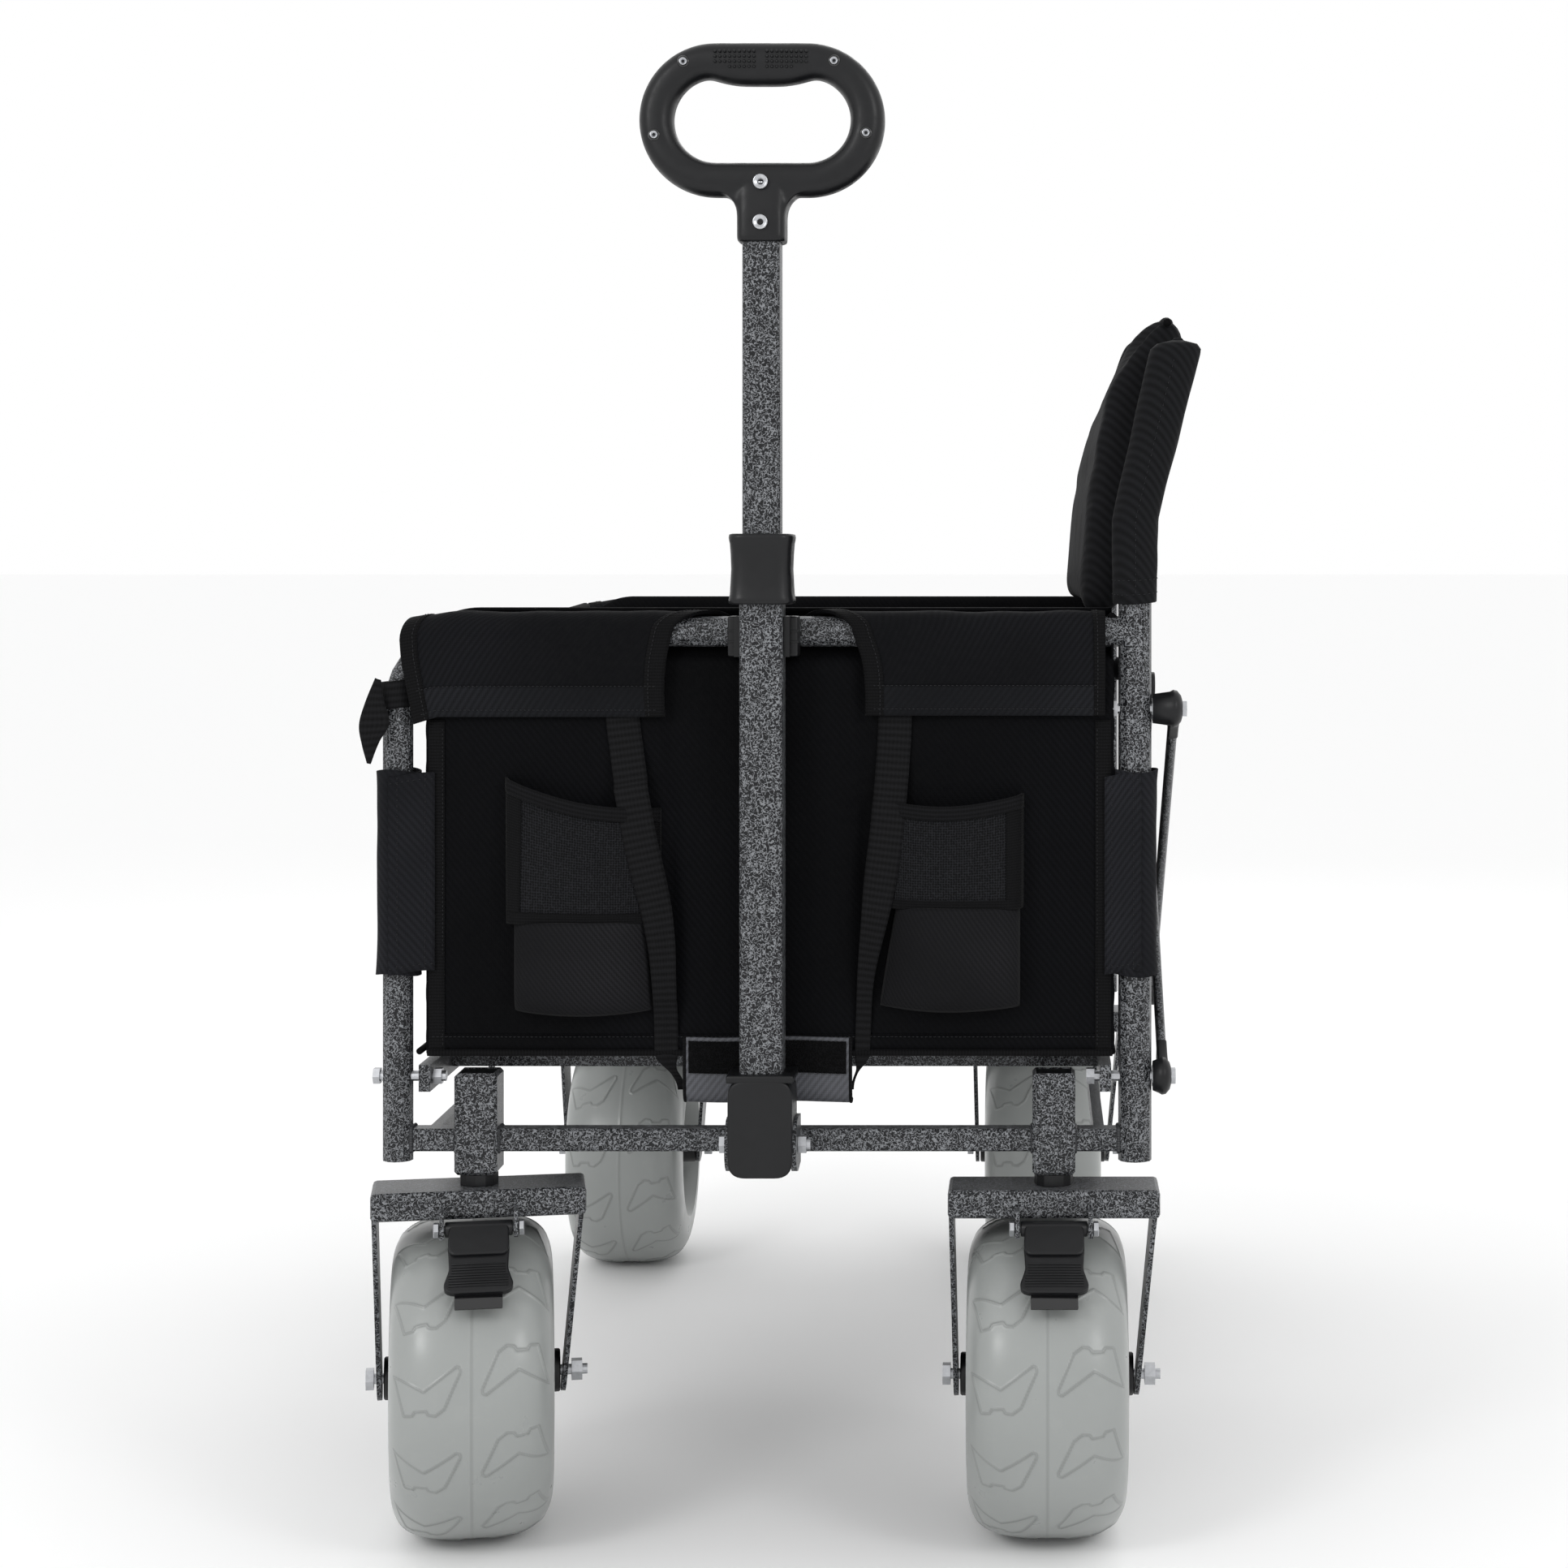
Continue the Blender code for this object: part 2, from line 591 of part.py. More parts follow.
def tyre(name):
    """A balloon tyre: a squarish rounded section turned about the axle."""
    half = TYRE_WIDTH / 2
    crown = []
    count = 8
    for i in range(count + 1):
        angle = math.pi * i / count
        u = math.copysign(abs(math.cos(angle)) ** (2 / TYRE_SQUARENESS), math.cos(angle))
        v = math.sin(angle) ** (2 / TYRE_SQUARENESS)
        crown.append((RIM_RADIUS + 0.006 + (TYRE_SECTION - 0.006) * v, half * u))
    profile = crown + [(RIM_RADIUS, -BEAD_HALF), (RIM_RADIUS, BEAD_HALF)]
    return turned(name, profile, True, RUBBER, WHEEL_STEPS, "X")


def hub(name):
    """A moulded hub: rim, dished web and spacer tubes, bored for the axle."""
    rim = RIM_RADIUS * math.cos(math.pi / WHEEL_STEPS) - GAP
    bore = AXLE_RADIUS + GAP
    profile = [(bore, HUB_HALF), (SPACER_RADIUS, HUB_HALF), (SPACER_RADIUS + 0.004, 0.022),
               (rim - 0.009, 0.020), (rim - 0.005, HUB_DISC), (rim, HUB_DISC),
               (rim, -HUB_DISC), (rim - 0.005, -HUB_DISC), (rim - 0.009, -0.020),
               (SPACER_RADIUS + 0.004, -0.022), (SPACER_RADIUS, -HUB_HALF), (bore, -HUB_HALF)]
    return turned(name, profile, True, BLACK_PLASTIC, 20, "X")


def brake_pedal(name):
    """The foot brake: a barrel on its pin, an upper plate, a waisted pedal and a tongue."""
    half = BRAKE_WIDTH / 2
    outline = [(-half, 0.002), (-half, -0.022), (-half + 0.003, -0.028), (-half - 0.001, -0.048),
               (-half + 0.0035, -0.053), (-half + 0.007, -0.0545), (-half + 0.0072, -BRAKE_LENGTH)]
    outline += [(-u, v) for u, v in reversed(outline)]
    piece = plate(name, outline, BRAKE_THICKNESS, (0.0, 0.0, 0.0), "XZ", BLACK_PLASTIC)
    tilt = Matrix.Rotation(-(math.pi / 2 - BRAKE_ANGLE), 4, "X")
    piece.data.transform(tilt)
    reach = BRAKE_WIDTH / 2 + RUNNING_GAP + 0.003 + RUNNING_GAP
    join(piece, cylinder("barrel", (0.0, 0.0, 0.0), 0.0055, BRAKE_WIDTH - 0.0004, sides=12),
         cylinder("pin", (0.0, 0.0, 0.0), BRAKE_PIN_RADIUS, 2 * reach + 0.006, sides=12))
    for side, sign in SIDES:
        join(piece, cylinder("nut", (sign * (reach + 0.002), 0.0, 0.0), 0.0058, 0.004, sides=6))
    return piece


def wheel(label, parent, local):
    """Tyre and hub on an axle empty; local is the axle's centre under the parent."""
    axle = axis_empty("axle_axis_" + label, local, parent)
    for kind, source in (("tyre", TYRE), ("hub", HUB)):
        piece = copy_piece(source, kind + "_" + label)
        piece.parent = axle
    return axle


def front_casters():
    for side, sign in SIDES:
        turn = FRONT_LEFT_TURN if sign < 0 else 0.0
        swivel = axis_empty("caster_axis_" + side, (sign * CASTER_X, 0.0, 0.0), ORIGIN, turn)
        for name, source in (("fork_front_", FRONT_FORK), ("axle_bolt_front_", AXLE_BOLT)):
            piece = copy_piece(source, name + side)
            piece.parent = swivel
        pin = axis_empty("brake_axis_" + side, (0.0, -BRAKE_PIN_FORWARD, FORK_TOP - BRAKE_PIN_BELOW), swivel)
        pedal = copy_piece(BRAKE, "brake_pedal_" + side)
        pedal.parent = pin
        wheel("front_" + side, swivel, (WHEEL_OFFSET, CASTER_TRAIL, AXLE_HEIGHT))
        swivel_bolt("king_bolt_" + side, sign * CASTER_X, 0.0, ORIGIN)


# ---------------------------------------------------------------- handle

def square_plug(name, low, high, half, corner=0.0047):
    """A straight rounded-square bar on the handle's centre line."""
    rings = [(low, half, half, corner), (high, half, half, corner)]
    return stacked(name, rings, centre=(0.0, -HANDLE_FORWARD))


def handle_knuckle(parent):
    """The black foot of the handle: rounded between the ears, wider above them, with a plug for the tube."""
    radius = KNUCKLE_RADIUS
    neck = HANDLE_PIVOT_HEIGHT + 0.0225
    outline = [(-HANDLE_FORWARD + radius, neck + 0.002), (-HANDLE_FORWARD - radius, neck + 0.002)]
    for i in range(9):
        angle = math.radians(180 + 22.5 * i)
        outline.append((-HANDLE_FORWARD + radius * math.cos(angle),
                        HANDLE_PIVOT_HEIGHT + radius * math.sin(angle)))
    piece = plate("handle_knuckle", outline, KNUCKLE_WIDTH, (0.0, 0.0, 0.0), "YZ", BLACK_PLASTIC)
    top = OUTER_TUBE_BOTTOM - GAP
    plug = OUTER_TUBE_SIZE / 2 - OUTER_TUBE_WALL - GAP
    centre = (0.0, -HANDLE_FORWARD)
    wide = OUTER_TUBE_SIZE / 2 + COLLAR_WALL
    deep = wide - 0.0015
    cap = stacked("cap", [(neck, wide - 0.001, deep - 0.001, 0.004), (neck + 0.0015, wide, deep, 0.005),
                          (top, wide - 0.0015, deep - 0.001, 0.005)], centre=centre)
    join(piece, cap,
         square_plug("plug", top - 0.001, top + 0.027, plug, 0.003))
    cut(piece, cylinder("bore", (0.0, -HANDLE_FORWARD, HANDLE_PIVOT_HEIGHT), HANDLE_BOLT_RADIUS + GAP, 0.1))
    return place(piece, parent)


def handle_collar(parent):
    """The waisted locking collar on the outer tube's top; the inner tube slides through it."""
    half = COLLAR_WIDTH / 2
    waist = half - COLLAR_WAIST
    middle = (COLLAR_BOTTOM + COLLAR_TOP) / 2
    rings = [(COLLAR_BOTTOM, half - 0.004, half - 0.004, 0.006), (COLLAR_BOTTOM + 0.003, half, half, 0.008),
             (middle - 0.008, waist, waist, 0.008), (middle + 0.006, waist, waist, 0.008),
             (COLLAR_TOP - 0.005, half, half, 0.008), (COLLAR_TOP, half - 0.003, half - 0.003, 0.006)]
    piece = stacked("handle_collar", rings, centre=(0.0, -HANDLE_FORWARD))
    sleeve = OUTER_TUBE_SIZE / 2 + GAP
    throat = INNER_TUBE_SIZE / 2 + RUNNING_GAP
    cut(piece,
        square_plug("sleeve", COLLAR_BOTTOM - 0.01, OUTER_TUBE_TOP + GAP, sleeve),
        square_plug("throat", OUTER_TUBE_TOP - 0.01, COLLAR_TOP + 0.01, throat))
    return place(piece, parent)


def grip_blank():
    """The whole grip before it is split into its two shells."""
    half = GRIP_WIDTH / 2
    inner = half - GRIP_RAIL
    outline = rounded_rectangle((-half, GRIP_BOTTOM), (half, GRIP_TOP), GRIP_CORNER, 6)
    hole = rounded_rectangle((-inner, GRIP_BOTTOM + GRIP_RAIL), (inner, GRIP_TOP - GRIP_RAIL),
                             GRIP_HOLE_CORNER, 6)
    piece = plate("grip", outline, GRIP_DEPTH, (0.0, -HANDLE_FORWARD, 0.0), "XZ", BLACK_PLASTIC, (hole,))
    bm = bmesh.new()
    bm.from_mesh(piece.data)
    rims = [e for e in bm.edges if len(e.link_faces) == 2 and e.calc_face_angle() > math.radians(60)]
    bmesh.ops.bevel(bm, geom=rims, offset=0.007, segments=2, profile=0.5, affect="EDGES")
    bm.to_mesh(piece.data)
    bm.free()
    neck = NECK_SIZE / 2
    drawn_in = neck - 0.002
    shoulder = neck - 0.004
    rings = [(NECK_BOTTOM, drawn_in, drawn_in, 0.004), (NECK_BOTTOM + 0.003, neck, neck, 0.006),
             (GRIP_BOTTOM + 0.010, neck, neck, 0.006), (GRIP_BOTTOM + 0.014, shoulder, shoulder, 0.004)]
    join(piece, stacked("neck", rings, centre=(0.0, -HANDLE_FORWARD)))
    cut(piece, square_plug("socket", NECK_BOTTOM - 0.01, GRIP_BOTTOM + 0.001, INNER_TUBE_SIZE / 2 + GAP))
    return piece


def grip_shell(name, blank, sign, parent):
    """One half of the grip, cut off the blank at the handle's centre plane."""
    bm = bmesh.new()
    bm.from_mesh(blank.data)
    plane = -HANDLE_FORWARD + sign * GAP / 2
    cutline = bmesh.ops.bisect_plane(bm, geom=bm.verts[:] + bm.edges[:] + bm.faces[:], dist=1e-7,
                                     plane_co=(0.0, plane, 0.0), plane_no=(0.0, -sign, 0.0), clear_outer=True)
    open_edges = [g for g in cutline["geom_cut"] if isinstance(g, bmesh.types.BMEdge)]
    bmesh.ops.triangle_fill(bm, edges=open_edges, use_beauty=True)
    bmesh.ops.recalc_face_normals(bm, faces=bm.faces)
    mesh = bpy.data.meshes.new(name)
    bm.to_mesh(mesh)
    bm.free()
    return place(add_object(name, mesh, BLACK_PLASTIC), parent)


def handle():
    tilt = axis_empty("handle_axis", (0.0, -HANDLE_FORWARD, HANDLE_PIVOT_HEIGHT))
    handle_knuckle(tilt)
    place(square_tube("handle_outer_tube", OUTER_TUBE_SIZE, OUTER_TUBE_WALL, OUTER_TUBE_BOTTOM,
                      OUTER_TUBE_TOP), tilt)
    handle_collar(tilt)
    slide = axis_empty("handle_slide_axis", (0.0, 0.0, COLLAR_TOP - HANDLE_PIVOT_HEIGHT), tilt)
    tube_top = GRIP_BOTTOM + 0.001 - GAP
    place(square_tube("handle_inner_tube", INNER_TUBE_SIZE, INNER_TUBE_WALL, INNER_TUBE_BOTTOM,
                      tube_top), slide)
    blank = grip_blank()
    grip_shell("grip_front_shell", blank, -1, slide)
    grip_shell("grip_rear_shell", blank, 1, slide)
    bpy.data.objects.remove(blank, do_unlink=True)
    reach = KNUCKLE_WIDTH / 2 + RUNNING_GAP + EAR_THICKNESS + GAP
    place(bolt("handle_pivot_bolt", (-reach - 0.005, -HANDLE_FORWARD, HANDLE_PIVOT_HEIGHT), reach + 0.009,
               HANDLE_BOLT_RADIUS, head=0.007, nut=0.007))


# ---------------------------------------------------------------- floor

def floor_frame(name, y_pivot, direction, shift, plate_side):
    """Half of the floor frame; direction is +1 from the front frame to the middle hinge, -1 from the rear."""

    def span(near, far):
        ends = sorted((y_pivot + direction * near, y_pivot + direction * far))
        return ends[0], ends[1]

    rail_outer = RAIL_OUTER - shift
    rail_inner = rail_outer - RAIL_WIDTH
    half = RAIL_HEIGHT / 2
    cross = CROSS_TUBE_SIZE / 2
    piece = None
    tools = []
    for side, sign in SIDES:
        low_x, high_x = sorted((sign * rail_inner, sign * rail_outer))
        start, end = span(-0.012, FLOOR_HALF - HINGE_REACH)
        rail = box(name, (low_x, start, FLOOR_HEIGHT - half), (high_x, end, FLOOR_HEIGHT + half))
        if piece is None:
            piece = rail
        else:
            tools.append(rail)
        tools.append(hinge_plate(sign, rail_inner, rail_outer, y_pivot, direction, plate_side))
        low_x, high_x = sorted((sign * (STOP_BAR_OUTER - STOP_BAR_WIDTH), sign * STOP_BAR_OUTER))
        start, end = span(LOWER_BAR_SIZE / 2 + GAP, STOP_BAR_END)
        tools.append(box("stop", (low_x, start, LOWER_BAR_HEIGHT - STOP_BAR_HEIGHT / 2),
                         (high_x, end, LOWER_BAR_HEIGHT + STOP_BAR_HEIGHT / 2)))
        tools.append(strut(sign, y_pivot, direction))
    reach = rail_inner + 0.002
    for place_y in (0.075, FLOOR_HALF - 0.062):
        start, end = span(place_y - cross, place_y + cross)
        tools.append(box("cross", (-reach, start, FLOOR_HEIGHT - cross), (reach, end, FLOOR_HEIGHT + cross)))
    join(piece, *tools)
    for side, sign in SIDES:
        pivot = (sign * RAIL_OUTER, y_pivot, FLOOR_HEIGHT)
        cut(piece, cylinder("bore", pivot, PIVOT_BOLT_RADIUS + GAP, 0.03))
    return piece


def hinge_plate(sign, rail_inner, rail_outer, y_pivot, direction, plate_side):
    """The rounded plate that reaches from a rail to the middle hinge, outside or inside the rails."""
    bite = 0.0003
    if plate_side == "outside":
        x = rail_outer - bite + HINGE_PLATE / 2
    else:
        x = rail_inner + bite - HINGE_PLATE / 2
    hinge_y = y_pivot + direction * FLOOR_HALF
    radius = RAIL_HEIGHT / 2 - 0.001
    base = hinge_y - direction * (HINGE_REACH + 0.030)
    outline = [(base, FLOOR_HEIGHT + radius), (base, FLOOR_HEIGHT - radius)]
    for i in range(7):
        angle = -math.pi / 2 + math.pi * i / 6
        outline.append((hinge_y + direction * radius * math.cos(angle),
                        FLOOR_HEIGHT + radius * math.sin(angle)))
    piece = plate("plate", outline, HINGE_PLATE, (sign * x, 0.0, 0.0), "YZ")
    inner_face = rail_inner + bite - HINGE_PLATE
    if plate_side == "outside":
        pin_end = inner_face - 0.004
        pin_start = x
        join(piece, cylinder("pin", (sign * (pin_end + pin_start) / 2, hinge_y, FLOOR_HEIGHT),
                             PIVOT_BOLT_RADIUS - 0.001, pin_start - pin_end, sides=12))
    else:
        cut(piece, cylinder("bore", (sign * x, hinge_y, FLOOR_HEIGHT), PIVOT_BOLT_RADIUS - 0.001 + GAP, 0.02,
                            sides=12))
    return piece


def strut(sign, y_pivot, direction):
    """The slanting piece that ties a stop bar's end up to the rail."""
    low = LOWER_BAR_HEIGHT - STOP_BAR_HEIGHT / 2 + 0.001
    high = FLOOR_HEIGHT - RAIL_HEIGHT / 2 + 0.002
    run = STOP_BAR_END - 0.018
    outline = [(run, low), (run + 0.016, low), (run + 0.016 + (high - low), high), (run + (high - low), high)]
    outline = [(y_pivot + direction * u, v) for u, v in outline]
    width = 0.003
    x = sign * (RAIL_OUTER - RAIL_WIDTH + width / 2 + 0.0002)
    return plate("strut", outline, width, (x, 0.0, 0.0), "YZ")


def floor_board(name, y_pivot, direction, parent):
    ends = sorted((y_pivot + direction * BOARD_START, y_pivot + direction * (FLOOR_HALF - 0.006)))
    low = FLOOR_HEIGHT + RAIL_HEIGHT / 2 + GAP
    half = SIDE_CLOTH - 0.012
    piece = box(name, (-half, ends[0], low), (half, ends[1], low + BOARD_THICKNESS), BOARD_GREY)
    return place(piece, parent)


def floor_and_rear():
    front = axis_empty("floor_front_axis", (0.0, 0.0, FLOOR_HEIGHT))
    place(floor_frame("floor_frame_front", 0.0, 1, 0.0, "outside"), front)
    floor_board("floor_board_front", 0.0, 1, front)
    middle = axis_empty("floor_middle_axis", (0.0, FLOOR_HALF, 0.0), front)
    place(floor_frame("floor_frame_rear", FRAME_SPACING, -1, RAIL_SHIFT, "inside"), middle)
    floor_board("floor_board_rear", FRAME_SPACING, -1, middle)
    rear = axis_empty("rear_frame_axis", (0.0, FLOOR_HALF, 0.0), middle)
    place(frame("rear_frame", FRAME_SPACING), rear)
    place(wall("rear_wall", FRAME_SPACING + FRONT_CLOTH), rear)
    for side, sign in SIDES:
        fork = copy_piece(REAR_FORK, "fork_rear_" + side)
        axle = copy_piece(AXLE_BOLT, "axle_bolt_rear_" + side)
        for piece in (fork, axle):
            piece.parent = rear
            piece.location = (sign * CASTER_X, 0.0, -FLOOR_HEIGHT)
        centre = (sign * CASTER_X + WHEEL_OFFSET, CASTER_TRAIL, AXLE_HEIGHT - FLOOR_HEIGHT)
        wheel("rear_" + side, rear, centre)
        swivel_bolt("mount_bolt_rear_" + side, sign * CASTER_X, FRAME_SPACING, rear)
    return rear


# ---------------------------------------------------------------- pivot bolts and side bars

def pivot_bolts(end, y, parent):
    """The floor's pivot bolts at one frame, and the upper bolt of the side bars."""
    nut_face = RAIL_OUTER - RAIL_WIDTH - RAIL_SHIFT - RUNNING_GAP
    thread = nut_face - 0.006 - 0.003
    left = bolt("lower_pivot_bolt_" + end + "_left", (-POST_OUTER - 0.0055, y, FLOOR_HEIGHT), -thread,
                PIVOT_BOLT_RADIUS)
    place(left, parent)
    falling, rising = BAR_PLANES[end]
    lower = bolt("lower_pivot_bolt_" + end + "_right", (thread, y, FLOOR_HEIGHT), bar_bolt_end(rising),
                 PIVOT_BOLT_RADIUS, nut_length=0.005, tip=0.0, head_length=0.006)
    upper = bolt("upper_pivot_bolt_" + end, (POST_INNER - 0.0065, y, SIDE_BAR_TOP),
                 bar_bolt_end(falling), PIVOT_BOLT_RADIUS, nut_length=0.005, tip=0.0, head_length=0.006)
    for piece, plane, height in ((lower, rising, FLOOR_HEIGHT), (upper, falling, SIDE_BAR_TOP)):
        near = POST_OUTER + GAP
        far = plane - SIDE_BAR_THICKNESS / 2 - RUNNING_GAP
        join(piece, cylinder("spacer", ((near + far) / 2, y, height), 0.008, far - near, sides=12))
        place(piece, parent)


def bar_bolt_end(plane):
    """The end of a bolt whose nut holds a side bar that turns in this plane."""
    return plane + SIDE_BAR_THICKNESS / 2 + RUNNING_GAP + 0.005


def side_bar(name, start, end, plane, parent):
    """A flat bar with round ends; its start end turns on a pivot bolt."""
    start = Vector((0.0, *start))
    end = Vector((0.0, *end))
    along = end - start
    angle = math.atan2(along.z, along.y)
    length = along.length
    half = SIDE_BAR_HEIGHT / 2
    thickness = SIDE_BAR_THICKNESS
    piece = box(name, (-thickness / 2 + 0.0005, 0.002, -half), (thickness / 2 - 0.0005, length - 0.002, half),
                rounding=0.0025, segments=1)
    join(piece,
         cylinder("start", (0.0, 0.0, 0.0), SIDE_BAR_END_RADIUS, thickness, sides=12),
         cylinder("end", (0.0, length, 0.0), SIDE_BAR_END_RADIUS, thickness, sides=12))
    cut(piece,
        cylinder("bore", (0.0, 0.0, 0.0), PIVOT_BOLT_RADIUS + GAP, 0.03, sides=12),
        cylinder("bore", (0.0, length, 0.0), PIVOT_BOLT_RADIUS + GAP, 0.03, sides=12))
    piece.data.transform(Matrix.Translation((plane, start.y, start.z)) @ Matrix.Rotation(angle, 4, "X"))
    return place(piece, parent)


def side_bars(rear):
    for end, y, parent, base in (("front", 0.0, ORIGIN, 0.0), ("rear", FRAME_SPACING, rear, FLOOR_HEIGHT)):
        falling, rising = BAR_PLANES[end]
        upper_axis = axis_empty("falling_bar_axis_" + end, (0.0, 0.0, SIDE_BAR_TOP - base), parent)
        lower_axis = axis_empty("rising_bar_axis_" + end, (0.0, 0.0, FLOOR_HEIGHT - base), parent)
        high = (FLOOR_HALF, SIDE_BAR_TOP)
        low = (FLOOR_HALF, FLOOR_HEIGHT)
        side_bar("side_bar_falling_" + end, (y, SIDE_BAR_TOP), low, falling, upper_axis)
        side_bar("side_bar_rising_" + end, (y, FLOOR_HEIGHT), high, rising, lower_axis)


# ---------------------------------------------------------------- fabric

def wall(name, y):
    """An end wall of the basket, hung on the outer side of its frame."""
    left = -HALF_SPREAD + TOP_BAR_RADIUS + 0.0035
    right = POST_INNER - 0.0075
    outline = [(left, BASKET_BOTTOM), (right, BASKET_BOTTOM), (right, WALL_TOP)]
    bend_x = -HALF_SPREAD + HOOP_BEND
    bend_z = TOP_BAR_HEIGHT - HOOP_BEND
    for i in range(5):
        angle = math.pi / 2 * (1 + i / 4)
        outline.append((bend_x + (bend_x - left) * math.cos(angle),
                        bend_z + (WALL_TOP - bend_z) * math.sin(angle)))
    return plate(name, outline, CLOTH, (0.0, y + math.copysign(CLOTH / 2, y), 0.0), "XZ", CLOTH_BLACK)


def side_wall(name, sign):
    low_x, high_x = sorted((sign * SIDE_CLOTH, sign * (SIDE_CLOTH + CLOTH)))
    near = POST_RADIUS + 0.0035
    return place(box(name, (low_x, near, BASKET_BOTTOM), (high_x, FRAME_SPACING - near, SIDE_WALL_TOP),
                     CLOTH_BLACK))


def pocket(name, left, right):
    """An open pocket on the front wall: a bellied box below a flatter net."""
    back = -FRONT_CLOTH - CLOTH - GAP
    net = back - 0.016
    belly = back - 0.034
    outer = [(back, POCKET_BOTTOM), (belly, POCKET_BOTTOM), (belly, POCKET_BELLY),
             (net, POCKET_BELLY + 0.008), (net, POCKET_TOP), (back, POCKET_TOP)]
    skin = 0.002
    inner = [(back - skin, POCKET_BOTTOM + skin), (belly + skin, POCKET_BOTTOM + skin),
             (belly + skin, POCKET_BELLY - skin), (net + skin, POCKET_BELLY + 0.008 - skin),
             (net + skin, POCKET_TOP + 0.01), (back - skin, POCKET_TOP + 0.01)]
    middle = ((left + right) / 2, 0.0, 0.0)
    piece = plate(name, outer, right - left, middle, "YZ", MESH_BLACK)
    cut(piece, plate("inside", inner, right - left - 2 * skin, middle, "YZ"))
    return place(piece)


def webbing(name, centres):
    """A strap down the front wall through (x, height) centres."""
    half = WEBBING_WIDTH / 2
    outline = [(x - half, z) for x, z in centres] + [(x + half, z) for x, z in reversed(centres)]
    y = -FRONT_CLOTH - CLOTH - GAP - WEBBING_THICKNESS / 2
    return place(plate(name, outline, WEBBING_THICKNESS, (0.0, y, 0.0), "XZ", WEB_BLACK))


def flap(name, outline):
    """A flap folded over the top crossbar, down the front of the wall."""
    y = -TOP_BAR_RADIUS - 0.0025 - FLAP_THICKNESS / 2
    return place(plate(name, outline, FLAP_THICKNESS, (0.0, y, 0.0), "XZ", CLOTH_BLACK))


def post_wrap(name, sign, post_radius):
    """A stitched sleeve round a front post, which ties the front wall to it."""
    inner = post_radius + GAP
    outer = inner + WRAP_THICKNESS
    profile = [(outer, WRAP_TOP), (outer, WRAP_BOTTOM), (inner, WRAP_BOTTOM), (inner, WRAP_TOP)]
    piece = turned(name, profile, True, CLOTH_BLACK, 20)
    move_mesh(piece, (sign * HALF_SPREAD, 0.0, 0.0))
    return place(piece)


def backrest_panel():
    """The padded panel between the two backrest posts, leaning out above the basket's rim."""
    section = [(-0.039, 0.700), (-0.011, 0.700), (0.007, 0.768), (0.024, 0.850), (0.041, 0.918),
               (0.029, 0.930), (0.010, 0.921), (-0.021, 0.868), (-0.032, 0.800)]
    outline = [(HALF_SPREAD + out, height) for out, height in section]
    length = FRAME_SPACING - 2 * (POST_RADIUS + BACKREST_CLEARANCE)
    return place(plate("backrest_panel", outline, length, (0.0, FRAME_SPACING / 2, 0.0), "XZ", CLOTH_BLACK))


def fabric():
    place(wall("front_wall", -FRONT_CLOTH))
    side_wall("left_wall", -1)
    side_wall("right_wall", 1)
    backrest_panel()
    pocket("pocket_left", -0.193, -0.105)
    pocket("pocket_right", 0.103, 0.193)
    webbing("webbing_left", [(-0.098, 0.612), (-0.079, 0.468), (-0.074, 0.370)])
    webbing("webbing_right", [(0.092, 0.612), (0.082, 0.468), (0.074, 0.370)])
    edge = HALF_SPREAD
    flap("front_flap_left", [(-edge + 0.015, 0.622), (-0.085, 0.618), (-0.066, 0.636), (-0.049, 0.703),
                             (-edge + 0.063, 0.703), (-edge + 0.033, 0.698), (-edge + 0.009, 0.684)])
    flap("front_flap_right", [(0.088, 0.622), (edge - 0.022, 0.622), (edge - 0.022, 0.698), (0.062, 0.698),
                              (0.066, 0.668), (0.074, 0.640)])
    post_wrap("post_wrap_left", -1, TOP_BAR_RADIUS + WRAP_SLACK)
    post_wrap("post_wrap_right", 1, POST_RADIUS)
    place(box("bottom_flap", (-0.060, -0.0085, 0.333), (0.064, -0.0057, BASKET_BOTTOM - GAP), CLOTH_BLACK))


# ---------------------------------------------------------------- assembly

def centre_on_footprint():
    """Put the origin in the middle of the footprint, on the ground."""
    bpy.context.view_layer.update()
    low = Vector((1e9, 1e9, 1e9))
    high = -low
    for obj in PARTS.objects:
        if obj.type != "MESH":
            continue
        for vertex in obj.data.vertices:
            point = obj.matrix_world @ vertex.co
            low = Vector(map(min, low, point))
            high = Vector(map(max, high, point))
    middle = (low + high) / 2
    ORIGIN.location = (-middle.x, -middle.y, -low.z)


FRONT_FORK = fork_mesh(True)
REAR_FORK = fork_mesh(False)
AXLE_BOLT = axle_bolt("axle_bolt")
TYRE = tyre("tyre")
HUB = hub("hub")
BRAKE = brake_pedal("brake")

front_frame()
handle_clip()
front_casters()
handle()
rear_frame_axis = floor_and_rear()
pivot_bolts("front", 0.0, ORIGIN)
pivot_bolts("rear", FRAME_SPACING, rear_frame_axis)
side_bars(rear_frame_axis)
fabric()
for pattern in (FRONT_FORK, REAR_FORK, AXLE_BOLT, TYRE, HUB, BRAKE):
    bpy.data.objects.remove(pattern, do_unlink=True)
centre_on_footprint()
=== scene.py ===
"""The looks of the folding beach cart: coats, moulded plastic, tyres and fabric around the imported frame."""
import json
import math

import bmesh
import bpy
import numpy as np
from mathutils import Matrix, Vector, noise


